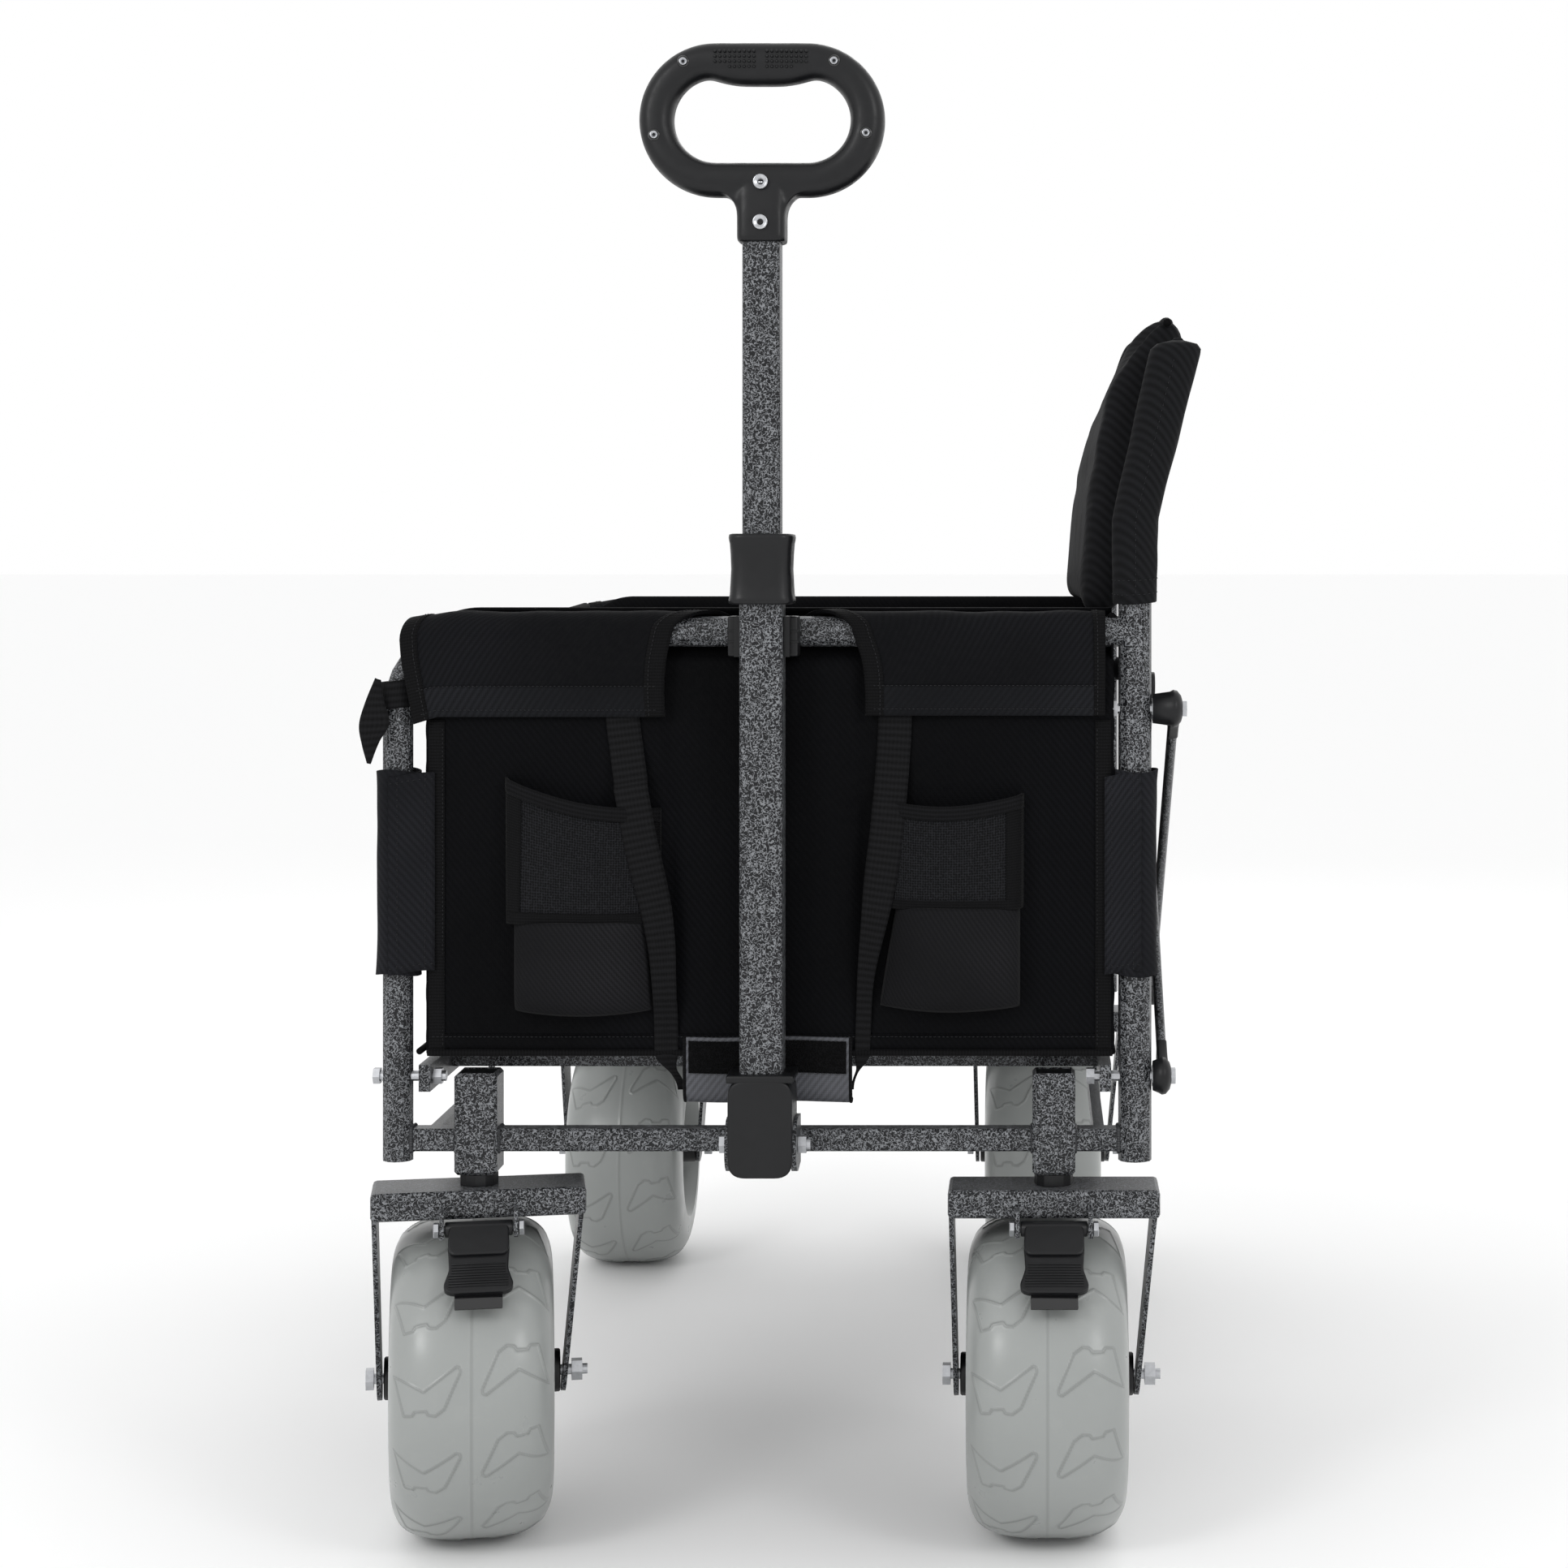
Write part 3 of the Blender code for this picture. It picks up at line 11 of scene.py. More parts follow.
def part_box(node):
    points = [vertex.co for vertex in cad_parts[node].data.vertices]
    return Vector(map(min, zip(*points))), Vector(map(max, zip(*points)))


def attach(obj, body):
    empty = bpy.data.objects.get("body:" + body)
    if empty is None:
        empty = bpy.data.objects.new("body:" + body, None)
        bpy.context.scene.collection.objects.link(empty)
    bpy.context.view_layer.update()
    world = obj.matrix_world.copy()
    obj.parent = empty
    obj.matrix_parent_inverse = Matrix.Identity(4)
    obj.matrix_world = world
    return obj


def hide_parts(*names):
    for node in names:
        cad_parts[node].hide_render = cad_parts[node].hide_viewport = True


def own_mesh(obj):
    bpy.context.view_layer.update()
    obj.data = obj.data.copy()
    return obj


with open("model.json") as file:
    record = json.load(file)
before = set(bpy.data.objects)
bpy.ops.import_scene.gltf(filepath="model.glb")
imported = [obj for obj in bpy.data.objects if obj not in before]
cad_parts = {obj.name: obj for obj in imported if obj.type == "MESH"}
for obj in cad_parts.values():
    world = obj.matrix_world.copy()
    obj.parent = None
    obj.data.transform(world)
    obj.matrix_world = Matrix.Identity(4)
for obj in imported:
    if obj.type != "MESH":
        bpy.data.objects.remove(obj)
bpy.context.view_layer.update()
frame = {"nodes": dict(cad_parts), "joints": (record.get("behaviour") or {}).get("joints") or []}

NODES = frame["nodes"]
JOINTS = {joint["name"]: joint for joint in frame["joints"]}


def middle(node):
    """Centre of a CAD node's box."""
    low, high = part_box(node)
    return (low + high) / 2


# ------------------------------------------------------------------ places read from the frame

LEFT_POST = middle("post_wrap_left")
RIGHT_POST = middle("post_wrap_right")
MID = (LEFT_POST.x + RIGHT_POST.x) / 2                   # the cart's mid-plane
HALF_SPREAD = (RIGHT_POST.x - LEFT_POST.x) / 2           # post centre to the mid-plane
FRONT_Y = LEFT_POST.y                                    # plane of the front frame
SPACING = JOINTS["rear_frame_fold"]["pos_m"][1] - FRONT_Y
PANEL_BACK = FRONT_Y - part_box("front_wall")[1].y         # how far the front panel's back stands forward
BASKET_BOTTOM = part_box("front_wall")[0].z
SIDE_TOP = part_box("left_wall")[1].z
BAR_HEIGHT = middle("handle_clip").z + 0.003             # centre of the top crossbar
HANDLE_Y = middle("handle_outer_tube").y - FRONT_Y
BAR_RADIUS = 0.0115
POST_RADIUS = 0.0125
HOOP_BEND = 0.060
BEND_X = -HALF_SPREAD + HOOP_BEND                        # centre of the hoop's left bend
LEAN = math.radians(13.5)                                # of the backrest posts
LEAN_START = 0.768

TWILL_SHEET = 0.002                                      # thickness of the doubled shell fabric
THREAD_RADIUS = 0.00035
SIDES = (("left", -1), ("right", 1))


def at(u, y, z):
    """A place from its distance to the mid-plane, its distance behind the front frame, and its height."""
    return Vector((MID + u, FRONT_Y + y, z))


# ------------------------------------------------------------------ materials

def tinted(color, factor):
    """A colour made darker or paler."""
    return tuple(factor * c for c in color)


class Shader:
    """A node tree with short calls for the nodes that the materials share."""

    def __init__(self, name, color, roughness, metallic=0.0, sheen=0.0, coat=0.0, gloss=0.5):
        self.material = bpy.data.materials.new(name)
        self.material.use_nodes = True
        self.tree = self.material.node_tree
        self.shader = self.tree.nodes["Principled BSDF"]
        self.set("Base Color", (*color, 1.0))
        self.set("Roughness", roughness)
        self.set("Metallic", metallic)
        self.set("Specular IOR Level", gloss)
        self.set("Sheen Weight", sheen)
        self.set("Sheen Roughness", 0.45)
        self.set("Coat Weight", coat)
        self.set("Coat Roughness", 0.18)
        self.height = None

    def set(self, socket, value):
        self.shader.inputs[socket].default_value = value

    def node(self, kind, **values):
        made = self.tree.nodes.new(kind)
        for key, value in values.items():
            if hasattr(made, key):
                setattr(made, key, value)
            else:
                made.inputs[key.replace("_", " ")].default_value = value
        return made

    def link(self, source, target):
        self.tree.links.new(source, target)

    def place(self, uv=False, scale=(1.0, 1.0, 1.0), turn=0.0):
        """Texture coordinates in metres: along the piece's cloth, or in the piece's own space."""
        texture = self.node("ShaderNodeTexCoord")
        mapping = self.node("ShaderNodeMapping", Scale=scale, Rotation=(0.0, 0.0, turn))
        self.link(texture.outputs["UV" if uv else "Object"], mapping.inputs["Vector"])
        return mapping.outputs["Vector"]

    def noise(self, where, scale, detail=3.0, roughness=0.55):
        made = self.node("ShaderNodeTexNoise", Scale=scale, Detail=detail, Roughness=roughness)
        self.link(where, made.inputs["Vector"])
        return made.outputs["Fac"]

    def wave(self, where, scale, direction="X", distortion=0.0):
        made = self.node("ShaderNodeTexWave", wave_type="BANDS", bands_direction=direction, Scale=scale,
                         Distortion=distortion)
        self.link(where, made.inputs["Vector"])
        return made.outputs["Fac"]

    def voronoi(self, where, scale, feature="F1", randomness=1.0):
        made = self.node("ShaderNodeTexVoronoi", feature=feature, Scale=scale, Randomness=randomness)
        self.link(where, made.inputs["Vector"])
        return made.outputs["Distance"]

    def span(self, factor, low, high, start=0.0, end=1.0):
        made = self.node("ShaderNodeMapRange")
        made.inputs["From Min"].default_value = start
        made.inputs["From Max"].default_value = end
        made.inputs["To Min"].default_value = low
        made.inputs["To Max"].default_value = high
        self.link(factor, made.inputs["Value"])
        return made.outputs["Result"]

    def math(self, operation, first, second):
        made = self.node("ShaderNodeMath", operation=operation)
        for socket, value in zip(made.inputs, (first, second)):
            if isinstance(value, (int, float)):
                socket.default_value = value
            else:
                self.link(value, socket)
        return made.outputs["Value"]

    def mix(self, factor, first, second, blend="MIX"):
        made = self.node("ShaderNodeMix", data_type="RGBA", blend_type=blend)
        if isinstance(factor, (int, float)):
            made.inputs["Factor"].default_value = factor
        else:
            self.link(factor, made.inputs["Factor"])
        for socket, value in ((made.inputs[6], first), (made.inputs[7], second)):
            if isinstance(value, tuple):
                socket.default_value = (*value, 1.0)
            else:
                self.link(value, socket)
        return made.outputs[2]

    def color(self, value):
        self.link(value, self.shader.inputs["Base Color"])

    def roughness(self, value):
        self.link(value, self.shader.inputs["Roughness"])

    def bump(self, height, distance, strength=1.0):
        made = self.node("ShaderNodeBump", Distance=distance, Strength=strength)
        self.link(height, made.inputs["Height"])
        if self.height is not None:
            self.link(self.height, made.inputs["Normal"])
        self.height = made.outputs["Normal"]
        self.link(self.height, self.shader.inputs["Normal"])


WAVE_SCALE = 0.16         # of a wave texture whose crests lie about two metres apart


def vein_coat():
    """Dark hammered powder coat with a worm-like silver vein about 2 mm wide."""
    made = Shader("vein_coat", (0.05, 0.052, 0.056), 0.38, metallic=0.25, gloss=0.35)
    where = made.place()
    drift = made.node("ShaderNodeTexNoise", Scale=260.0, Detail=1.0)
    made.link(where, drift.inputs["Vector"])
    bent = made.node("ShaderNodeMix", data_type="RGBA", blend_type="LINEAR_LIGHT")
    bent.inputs["Factor"].default_value = 0.0022
    made.link(where, bent.inputs[6])
    made.link(drift.outputs["Color"], bent.inputs[7])
    worms = made.noise(bent.outputs[2], 470.0, 1.0, 0.4)
    crests = made.math("ABSOLUTE", made.math("SUBTRACT", worms, 0.5), 0.0)
    vein = made.span(crests, 1.0, 0.0, 0.030, 0.072)
    specks = made.noise(where, 1500.0, 2.0)
    silver = made.mix(specks, (0.130, 0.136, 0.146), (0.265, 0.274, 0.288))
    shade = made.noise(where, 14.0, 2.0)
    ground = made.mix(shade, (0.004, 0.0043, 0.005), (0.011, 0.0115, 0.0135))
    made.color(made.mix(vein, ground, silver))
    made.roughness(made.span(vein, 0.30, 0.46))
    made.bump(vein, 0.00025, 0.8)
    return made.material


def zinc_plate():
    """Bright zinc on the bolts, nuts and screws, faintly clouded."""
    color = (0.50, 0.51, 0.53)
    made = Shader("zinc_plate", color, 0.3, metallic=1.0)
    where = made.place()
    cloud = made.noise(where, 260.0, 4.0)
    made.color(made.mix(cloud, tinted(color, 0.72), tinted(color, 1.15)))
    made.roughness(made.span(made.noise(where, 900.0, 3.0), 0.22, 0.45))
    made.bump(made.noise(where, 1600.0, 2.0), 0.00008, 0.5)
    return made.material


def moulded(name, color, roughness, grain=0.00006, coat=0.0, gloss=0.3):
    """Moulded plastic: a fine spark-eroded grain, slight clouding and paler worn places."""
    made = Shader(name, color, roughness, coat=coat, gloss=gloss)
    where = made.place()
    cloud = made.noise(where, 35.0, 4.0)
    made.color(made.mix(cloud, tinted(color, 0.75), tinted(color, 1.45)))
    made.roughness(made.span(made.noise(where, 120.0, 3.0), roughness - 0.07, roughness + 0.09, 0.3, 0.7))
    made.bump(made.noise(where, 1900.0, 2.0), grain, 0.7)
    return made.material


def tyre_skin():
    """Smooth satin balloon tyre: faint mottling, soft moulding flow, a little dust, and painted shade on the
    tread's flanks.
    """
    made = Shader("tyre_skin", (0.335, 0.345, 0.325), 0.36, coat=0.10)
    where = made.place()
    cloud = made.noise(where, 9.0, 4.0)
    dust = made.span(made.noise(where, 60.0, 5.0, 0.7), 0.0, 0.25, 0.52, 0.8)
    base = made.mix(cloud, (0.255, 0.268, 0.262), (0.300, 0.313, 0.306))
    ridge = made.node("ShaderNodeAttribute", attribute_name="ridge").outputs["Fac"]
    # Painted shade: the colour turns dark on the sloping flanks of the tread's raised outlines, standing in
    # for their shadows.
    flank = made.math("MULTIPLY", made.math("MULTIPLY", ridge, made.math("SUBTRACT", 1.0, ridge)), 1.3)
    made.color(made.mix(flank, made.mix(dust, base, (0.33, 0.34, 0.33)), (0.10, 0.105, 0.10)))
    made.roughness(made.span(made.noise(where, 42.0, 4.0), 0.27, 0.38, 0.3, 0.7))
    made.bump(made.noise(where, 700.0, 3.0), 0.00006, 0.5)
    made.bump(made.noise(where, 18.0, 2.0), 0.0002, 0.15)
    return made.material


def twill(name, color, pitch=0.0021, sheen=0.02, roughness=0.82, gloss=0.08):
    """Polyester oxford twill: slanting ribs over a fine plain weave, with slubs and rubbed places."""
    made = Shader(name, color, roughness, sheen=sheen, gloss=gloss)
    cloth = made.place(uv=True, turn=math.radians(-38))
    ribs = made.wave(cloth, WAVE_SCALE / pitch, "X", 0.35)
    straight = made.place(uv=True)
    warp = made.wave(straight, 190.0, "X")
    weft = made.wave(straight, 190.0, "Y")
    weave = made.math("MULTIPLY", warp, weft)
    height = made.math("ADD", made.math("MULTIPLY", ribs, 0.6), made.math("MULTIPLY", weave, 0.4))
    where = made.place()
    slub = made.noise(where, 170.0, 4.0, 0.7)
    cloud = made.noise(where, 6.0, 2.0)
    dark = tinted(color, 0.55)
    pale = tinted(color, 1.9)
    base = made.mix(height, dark, pale)
    rubbed = made.mix(made.span(slub, 0.0, 0.45, 0.35, 0.75), base, tinted(color, 1.7))
    made.color(made.mix(made.span(cloud, 0.0, 0.9, 0.35, 0.65), rubbed, dark))
    made.roughness(made.span(slub, roughness - 0.08, roughness + 0.1, 0.3, 0.7))
    made.bump(height, 0.00022, 0.7)
    made.bump(slub, 0.0002, 0.4)
    return made.material


def padded_twill(name, color):
    """The same cloth where its weave follows the object's space instead of a cut edge."""
    made = Shader(name, color, 0.82, sheen=0.02, gloss=0.08)
    where = made.place()
    slant = made.place(scale=(1.0, 0.8, 1.0))
    ribs = made.wave(slant, 76.0, "DIAGONAL", 0.3)
    slub = made.noise(where, 170.0, 4.0, 0.7)
    dark = tinted(color, 0.62)
    pale = tinted(color, 1.5)
    base = made.mix(ribs, dark, pale)
    made.color(made.mix(made.span(slub, 0.0, 0.45, 0.35, 0.75), base, tinted(color, 1.7)))
    made.roughness(made.span(slub, 0.74, 0.92, 0.3, 0.7))
    made.bump(ribs, 0.00018, 0.6)
    made.bump(slub, 0.0002, 0.4)
    return made.material


def strap_weave(name, color, pitch=0.0026):
    """Woven strap: cords across its width, each a row of small stitches."""
    made = Shader(name, color, 0.78, sheen=0.02, gloss=0.10)
    cloth = made.place(uv=True)
    cords = made.wave(cloth, WAVE_SCALE / pitch, "Y")
    threads = made.wave(cloth, 150.0, "X", 0.4)
    height = made.math("ADD", made.math("MULTIPLY", cords, 0.75), made.math("MULTIPLY", threads, 0.25))
    where = made.place()
    fuzz = made.noise(where, 420.0, 4.0, 0.7)
    dark = tinted(color, 0.35)
    pale = tinted(color, 1.6)
    base = made.mix(height, dark, pale)
    made.color(made.mix(made.span(fuzz, 0.0, 0.3, 0.4, 0.7), base, pale))
    made.bump(height, 0.0004, 0.9)
    made.bump(fuzz, 0.0002, 0.4)
    return made.material


def net_cloth():
    """Fine knitted net: small hexagon openings seen as darker pits."""
    made = Shader("net_cloth", (0.018, 0.018, 0.020), 0.72, sheen=0.02, gloss=0.10)
    cloth = made.place(uv=True)
    cells = made.voronoi(cloth, 520.0, "F1", 0.25)
    thread = made.span(cells, 0.0, 1.0, 0.25, 0.5)
    where = made.place()
    fuzz = made.noise(where, 500.0, 3.0)
    strand = made.mix(fuzz, (0.004, 0.004, 0.005), (0.016, 0.0165, 0.019))
    made.color(made.mix(thread, (0.0015, 0.0015, 0.0018), strand))
    made.bump(thread, 0.0005, 0.9)
    return made.material


def hook_strip():
    """Hook-and-loop tape: dense short pile."""
    made = Shader("hook_strip", (0.006, 0.006, 0.007), 0.92, sheen=0.01, gloss=0.05)
    where = made.place()
    pile = made.voronoi(where, 900.0)
    fuzz = made.noise(where, 300.0, 4.0)
    made.color(made.mix(made.math("MULTIPLY", pile, fuzz), (0.0015, 0.0015, 0.0015), (0.010, 0.010, 0.011)))
    made.bump(pile, 0.0006, 0.9)
    return made.material


def board_felt():
    """Grey needled felt over the floor boards."""
    made = Shader("board_felt", (0.03, 0.031, 0.034), 0.9, sheen=0.03, gloss=0.1)
    where = made.place()
    fibre = made.noise(where, 320.0, 5.0, 0.75)
    cloud = made.noise(where, 12.0, 3.0)
    base = made.mix(fibre, (0.012, 0.0125, 0.014), (0.040, 0.041, 0.045))
    made.color(made.mix(made.span(cloud, 0.0, 0.5, 0.3, 0.7), base, (0.015, 0.0155, 0.017)))
    made.bump(fibre, 0.0005, 0.7)
    return made.material


def thread():
    """Twisted sewing thread."""
    made = Shader("thread", (0.020, 0.020, 0.022), 0.6, sheen=0.02, gloss=0.15)
    where = made.place()
    twist = made.wave(where, 420.0, "DIAGONAL", 0.5)
    made.color(made.mix(twist, (0.006, 0.006, 0.007), (0.026, 0.0265, 0.029)))
    made.bump(twist, 0.0001, 0.6)
    return made.material


COAT = vein_coat()
ZINC = zinc_plate()
PLASTIC = moulded("black_moulding", (0.0045, 0.0047, 0.0055), 0.38)
GLOSSY = moulded("glossy_moulding", (0.003, 0.003, 0.0035), 0.12, 0.00002, 0.3, 0.5)
HUB_PLASTIC = moulded("hub_moulding", (0.004, 0.004, 0.0045), 0.46)
TYRE = tyre_skin()
TWILL = twill("black_twill_cloth", (0.0018, 0.0019, 0.0025), roughness=0.66, gloss=0.05)
FLAP_TWILL = twill("flap_twill_cloth", (0.0044, 0.0046, 0.0057))
HEM_TWILL = twill("hem_twill_cloth", (0.0080, 0.0084, 0.0100))
WRAP_TWILL = twill("wrap_twill_cloth", (0.0098, 0.0101, 0.0122))
DARK_BINDING = strap_weave("binding_tape", (0.0026, 0.0026, 0.0030), 0.0012)
PAD_TWILL = padded_twill("padded_twill_cloth", (0.0062, 0.0064, 0.0072))
CHARCOAL = twill("charcoal_twill_cloth", (0.055, 0.057, 0.066), sheen=0.05, roughness=0.5, gloss=0.4)
WEBBING = strap_weave("webbing_tape", (0.0050, 0.0050, 0.0056))
NET = net_cloth()
HOOKS = hook_strip()
FELT = board_felt()
THREAD = thread()
WELD = moulded("weld_coat", (0.030, 0.031, 0.034), 0.30)
CHARCOAL_BOX = twill("pocket_twill_cloth", (0.0085, 0.0085, 0.0096), 0.0016)
NET_HEM = strap_weave("net_hem", (0.0024, 0.0024, 0.0028), 0.0010)
ELASTIC = strap_weave("elastic_binding", (0.0036, 0.0036, 0.0042), 0.0016)

# Slots of the materials; every other one is a kind of twill
SLOTS = {COAT: "vein_powder_coat", WELD: "vein_powder_coat", ZINC: "zinc", PLASTIC: "black_plastic",
         GLOSSY: "black_plastic", HUB_PLASTIC: "black_plastic", TYRE: "tyre_grey", FELT: "board_grey",
         NET: "black_mesh", NET_HEM: "black_mesh", WEBBING: "black_webbing", HOOKS: "black_webbing",
         ELASTIC: "black_webbing"}


# ------------------------------------------------------------------ mesh builders

def add(name, mesh, material, body=None, slot=None):
    """A piece with its material, riding on its body when one is named; its slot is looked up but not kept."""
    obj = bpy.data.objects.new(name, mesh)
    bpy.context.scene.collection.objects.link(obj)
    mesh.materials.clear()
    mesh.materials.append(material)
    mesh.shade_smooth()
    slot or SLOTS.get(material, "black_twill")
    if body:
        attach(obj, body)
    return obj


def solid_mesh(name, bm):
    """A new mesh from a bmesh, its faces turned outwards."""
    mesh = bpy.data.meshes.new(name)
    bmesh.ops.recalc_face_normals(bm, faces=bm.faces)
    bm.to_mesh(mesh)
    bm.free()
    return mesh


def welded(mesh):
    """Join a mesh's coinciding points and turn its faces outwards."""
    bm = bmesh.new()
    bm.from_mesh(mesh)
    bmesh.ops.remove_doubles(bm, verts=bm.verts, dist=1e-6)
    bmesh.ops.recalc_face_normals(bm, faces=bm.faces)
    bm.to_mesh(mesh)
    bm.free()
    return mesh


def applied(obj):
    """Keep what the modifiers make as the piece's mesh."""
    bpy.context.view_layer.update()
    mesh = bpy.data.meshes.new_from_object(obj.evaluated_get(bpy.context.evaluated_depsgraph_get()))
    obj.modifiers.clear()
    obj.data = mesh
    return obj


def grid_mesh(name, points, wrap=False):
    """A sheet of quads over rows of points, with its cloth coordinates in metres as a UV map."""
    points = np.asarray([[tuple(p) for p in row] for row in points], float)
    rows, cols = points.shape[:2]
    around = cols if wrap else cols - 1
    index = np.arange(rows * cols).reshape(rows, cols)
    left = index[:-1, :around]
    right = np.roll(index, -1, axis=1)[:-1, :around]
    above = index[1:, :around]
    above_right = np.roll(index, -1, axis=1)[1:, :around]
    faces = np.stack([left, right, above_right, above], axis=-1).reshape(-1, 4)
    mesh = bpy.data.meshes.new(name)
    mesh.from_pydata(points.reshape(-1, 3).tolist(), [], faces.tolist())
    step_u = np.linalg.norm(np.diff(points, axis=1), axis=2).mean(axis=0)
    step_v = np.linalg.norm(np.diff(points, axis=0), axis=2).mean(axis=1)
    u = np.concatenate([[0.0], np.cumsum(step_u)])
    v = np.concatenate([[0.0], np.cumsum(step_v)])
    if wrap:
        u = np.append(u, u[-1] + step_u[-1])
    row, col = np.divmod(np.arange((rows - 1) * around), around)
    corners_u = np.stack([u[col], u[col + 1], u[col + 1], u[col]], axis=-1)
    corners_v = np.stack([v[row], v[row], v[row + 1], v[row + 1]], axis=-1)
    layer = mesh.uv_layers.new(name="UVMap")
    layer.data.foreach_set("uv", np.stack([corners_u, corners_v], axis=-1).reshape(-1))
    mesh.validate()
    return mesh


def cloth(name, points, material, thickness=TWILL_SHEET, wrap=False, slot=None):
    """A sheet through rows of points, with a thickness."""
    obj = add(name, grid_mesh(name, points, wrap), material, slot=slot)
    thick = obj.modifiers.new("thickness", "SOLIDIFY")
    thick.thickness = thickness
    thick.offset = 0.0
    thick.use_even_offset = False
    return applied(obj)


def curve_through(points, count):
    """Points spread along a smooth curve through given ones (Catmull-Rom)."""
    points = [Vector(p) for p in points]
    ends = [2 * points[0] - points[1]] + points + [2 * points[-1] - points[-2]]
    spans = len(points) - 1
    out = []
    for i in range(count):
        t = i / (count - 1) * spans
        k = min(int(t), spans - 1)
        f = t - k
        a, b, c, d = ends[k:k + 4]
        out.append(0.5 * (2 * b + (c - a) * f + (2 * a - 5 * b + 4 * c - d) * f * f
                          + (3 * b - a - 3 * c + d) * f ** 3))
    return out


def ring_frames(path, up):
    """For each point of a path: the point and two directions square to the path."""
    path = [Vector(p) for p in path]
    frames = []
    for i, point in enumerate(path):
        along = (path[min(i + 1, len(path) - 1)] - path[max(i - 1, 0)]).normalized()
        side = along.cross(up).normalized()
        frames.append((point, side, side.cross(along).normalized()))
    return frames


def rounded(value, power):
    """A cosine or sine bent so that its circle becomes a soft-cornered square."""
    return math.copysign(abs(value) ** power, value)


def turns(count):
    """Cosine and sine of even steps round a circle."""
    angles = [2 * math.pi * k / count for k in range(count)]
    return [(math.cos(angle), math.sin(angle)) for angle in angles]


def shifted(points, y, z=0.0):
    """The points moved along the cart and up."""
    return [p + Vector((0.0, y, z)) for p in points]


def tube(name, rings):
    """A closed skin over rings of points, with a flat cap at each end."""
    rows, cols = len(rings), len(rings[0])
    mesh = grid_mesh(name, rings, True)
    bm = bmesh.new()
    bm.from_mesh(mesh)
    bm.verts.ensure_lookup_table()
    for ring in (range(cols), range((rows - 1) * cols, rows * cols)):
        bm.faces.new([bm.verts[i] for i in ring])
    bmesh.ops.recalc_face_normals(bm, faces=bm.faces)
    bm.to_mesh(mesh)
    bm.free()
    return mesh


def piping(name, path, radius, body, squashed=False, up=(0.0, 0.0, 1.0), flat=1.0):
    """A corded or bound edge along a path, round or flattened, closed at its ends."""
    rings = []
    for point, side, over in ring_frames(path, Vector(up)):
        rings.append([point + side * radius * c + over * radius * flat * s for c, s in turns(10)])
    return settle(add(name, tube(name, rings), DARK_BINDING), body, squashed)


def stitches(name, path, body, pitch=0.0032, length=0.0022, squashed=False):
    """A row of thread stitches laid along a path, each a slim bead."""
    path = [Vector(p) for p in path]
    steps = [0.0]
    for a, b in zip(path, path[1:]):
        steps.append(steps[-1] + (b - a).length)
    bm = bmesh.new()
    count = max(2, int(steps[-1] / pitch))
    k = 0
    for i in range(count):
        distance = (i + 0.5) * steps[-1] / count
        while steps[k + 1] < distance:
            k += 1
        a, b = path[k], path[k + 1]
        along = (b - a).normalized()
        centre = a + along * (distance - steps[k])
        turn = along.to_track_quat("Z", "Y").to_matrix().to_4x4()
        size = Matrix.Diagonal((THREAD_RADIUS, THREAD_RADIUS, length / 2, 1.0))
        bmesh.ops.create_uvsphere(bm, u_segments=5, v_segments=4, radius=1.0,
                                  matrix=Matrix.Translation(centre) @ turn @ size)
    return settle(add(name, solid_mesh(name, bm), THREAD), body, squashed)


def settle(obj, body, squashed=False):
    """Hang a piece on its body; a piece on the fold's long sides also gets its own copy of its mesh."""
    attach(obj, body)
    if squashed:
        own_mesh(obj)
    return obj


def along_axis(axis):
    """The turn that lays the X axis along another one."""
    return Vector((1.0, 0.0, 0.0)).rotation_difference(Vector(axis)).to_matrix().to_4x4()


def lathe(name, profile, steps, centre, axis=(1.0, 0.0, 0.0)):
    """A closed turned mesh from (radius, distance along the axis) points."""
    place = Matrix.Translation(centre) @ along_axis(axis)
    rings = []
    for radius, along in profile + [profile[0]]:
        rings.append([place @ Vector((along, radius * c, radius * s)) for c, s in turns(steps)])
    return welded(grid_mesh(name, rings, True))


def block(name, low, high, rounding):
    """A rounded block as a mesh."""
    bm = bmesh.new()
    low, high = Vector(low), Vector(high)
    size = high - low
    bmesh.ops.create_cube(bm, size=1.0, matrix=Matrix.Translation((low + high) / 2)
                          @ Matrix.Diagonal((*size, 1.0)))
    bmesh.ops.bevel(bm, geom=bm.edges[:], offset=rounding, segments=3, profile=0.6, affect="EDGES")
    return solid_mesh(name, bm)


def outline_slab(name, outline, thickness, matrix, rounding=0.0, segments=2):
    """An outline in the XY plane made a slab about that plane, with its rims rounded."""
    bm = bmesh.new()
    low = [bm.verts.new((x, y, -thickness / 2)) for x, y in outline]
    high = [bm.verts.new((x, y, thickness / 2)) for x, y in outline]
    rims = []
    for ring in (low, high):
        face = bm.faces.new(ring)
        rims += list(face.edges)
    for i in range(len(outline)):
        j = (i + 1) % len(outline)
        bm.faces.new((low[i], low[j], high[j], high[i]))
    bmesh.ops.recalc_face_normals(bm, faces=bm.faces)
    if rounding:
        bmesh.ops.bevel(bm, geom=rims, offset=rounding, segments=segments, profile=0.6, affect="EDGES")
    bm.transform(matrix)
    return solid_mesh(name, bm)


def smoothstep(value, low, high):
    """From 0 at the low value to 1 at the high one, with no corner at either."""
    share = min(1.0, max(0.0, (value - low) / (high - low)))
    return share * share * (3 - 2 * share)


def lumps(u, v, size, seed=0.0):
    """Soft wrinkles between -1 and 1, a size in metres across."""
    return noise.noise(Vector((u / size + seed, v / size, seed)))


# ------------------------------------------------------------------ CAD nodes that stay

SHARP = math.radians(35)


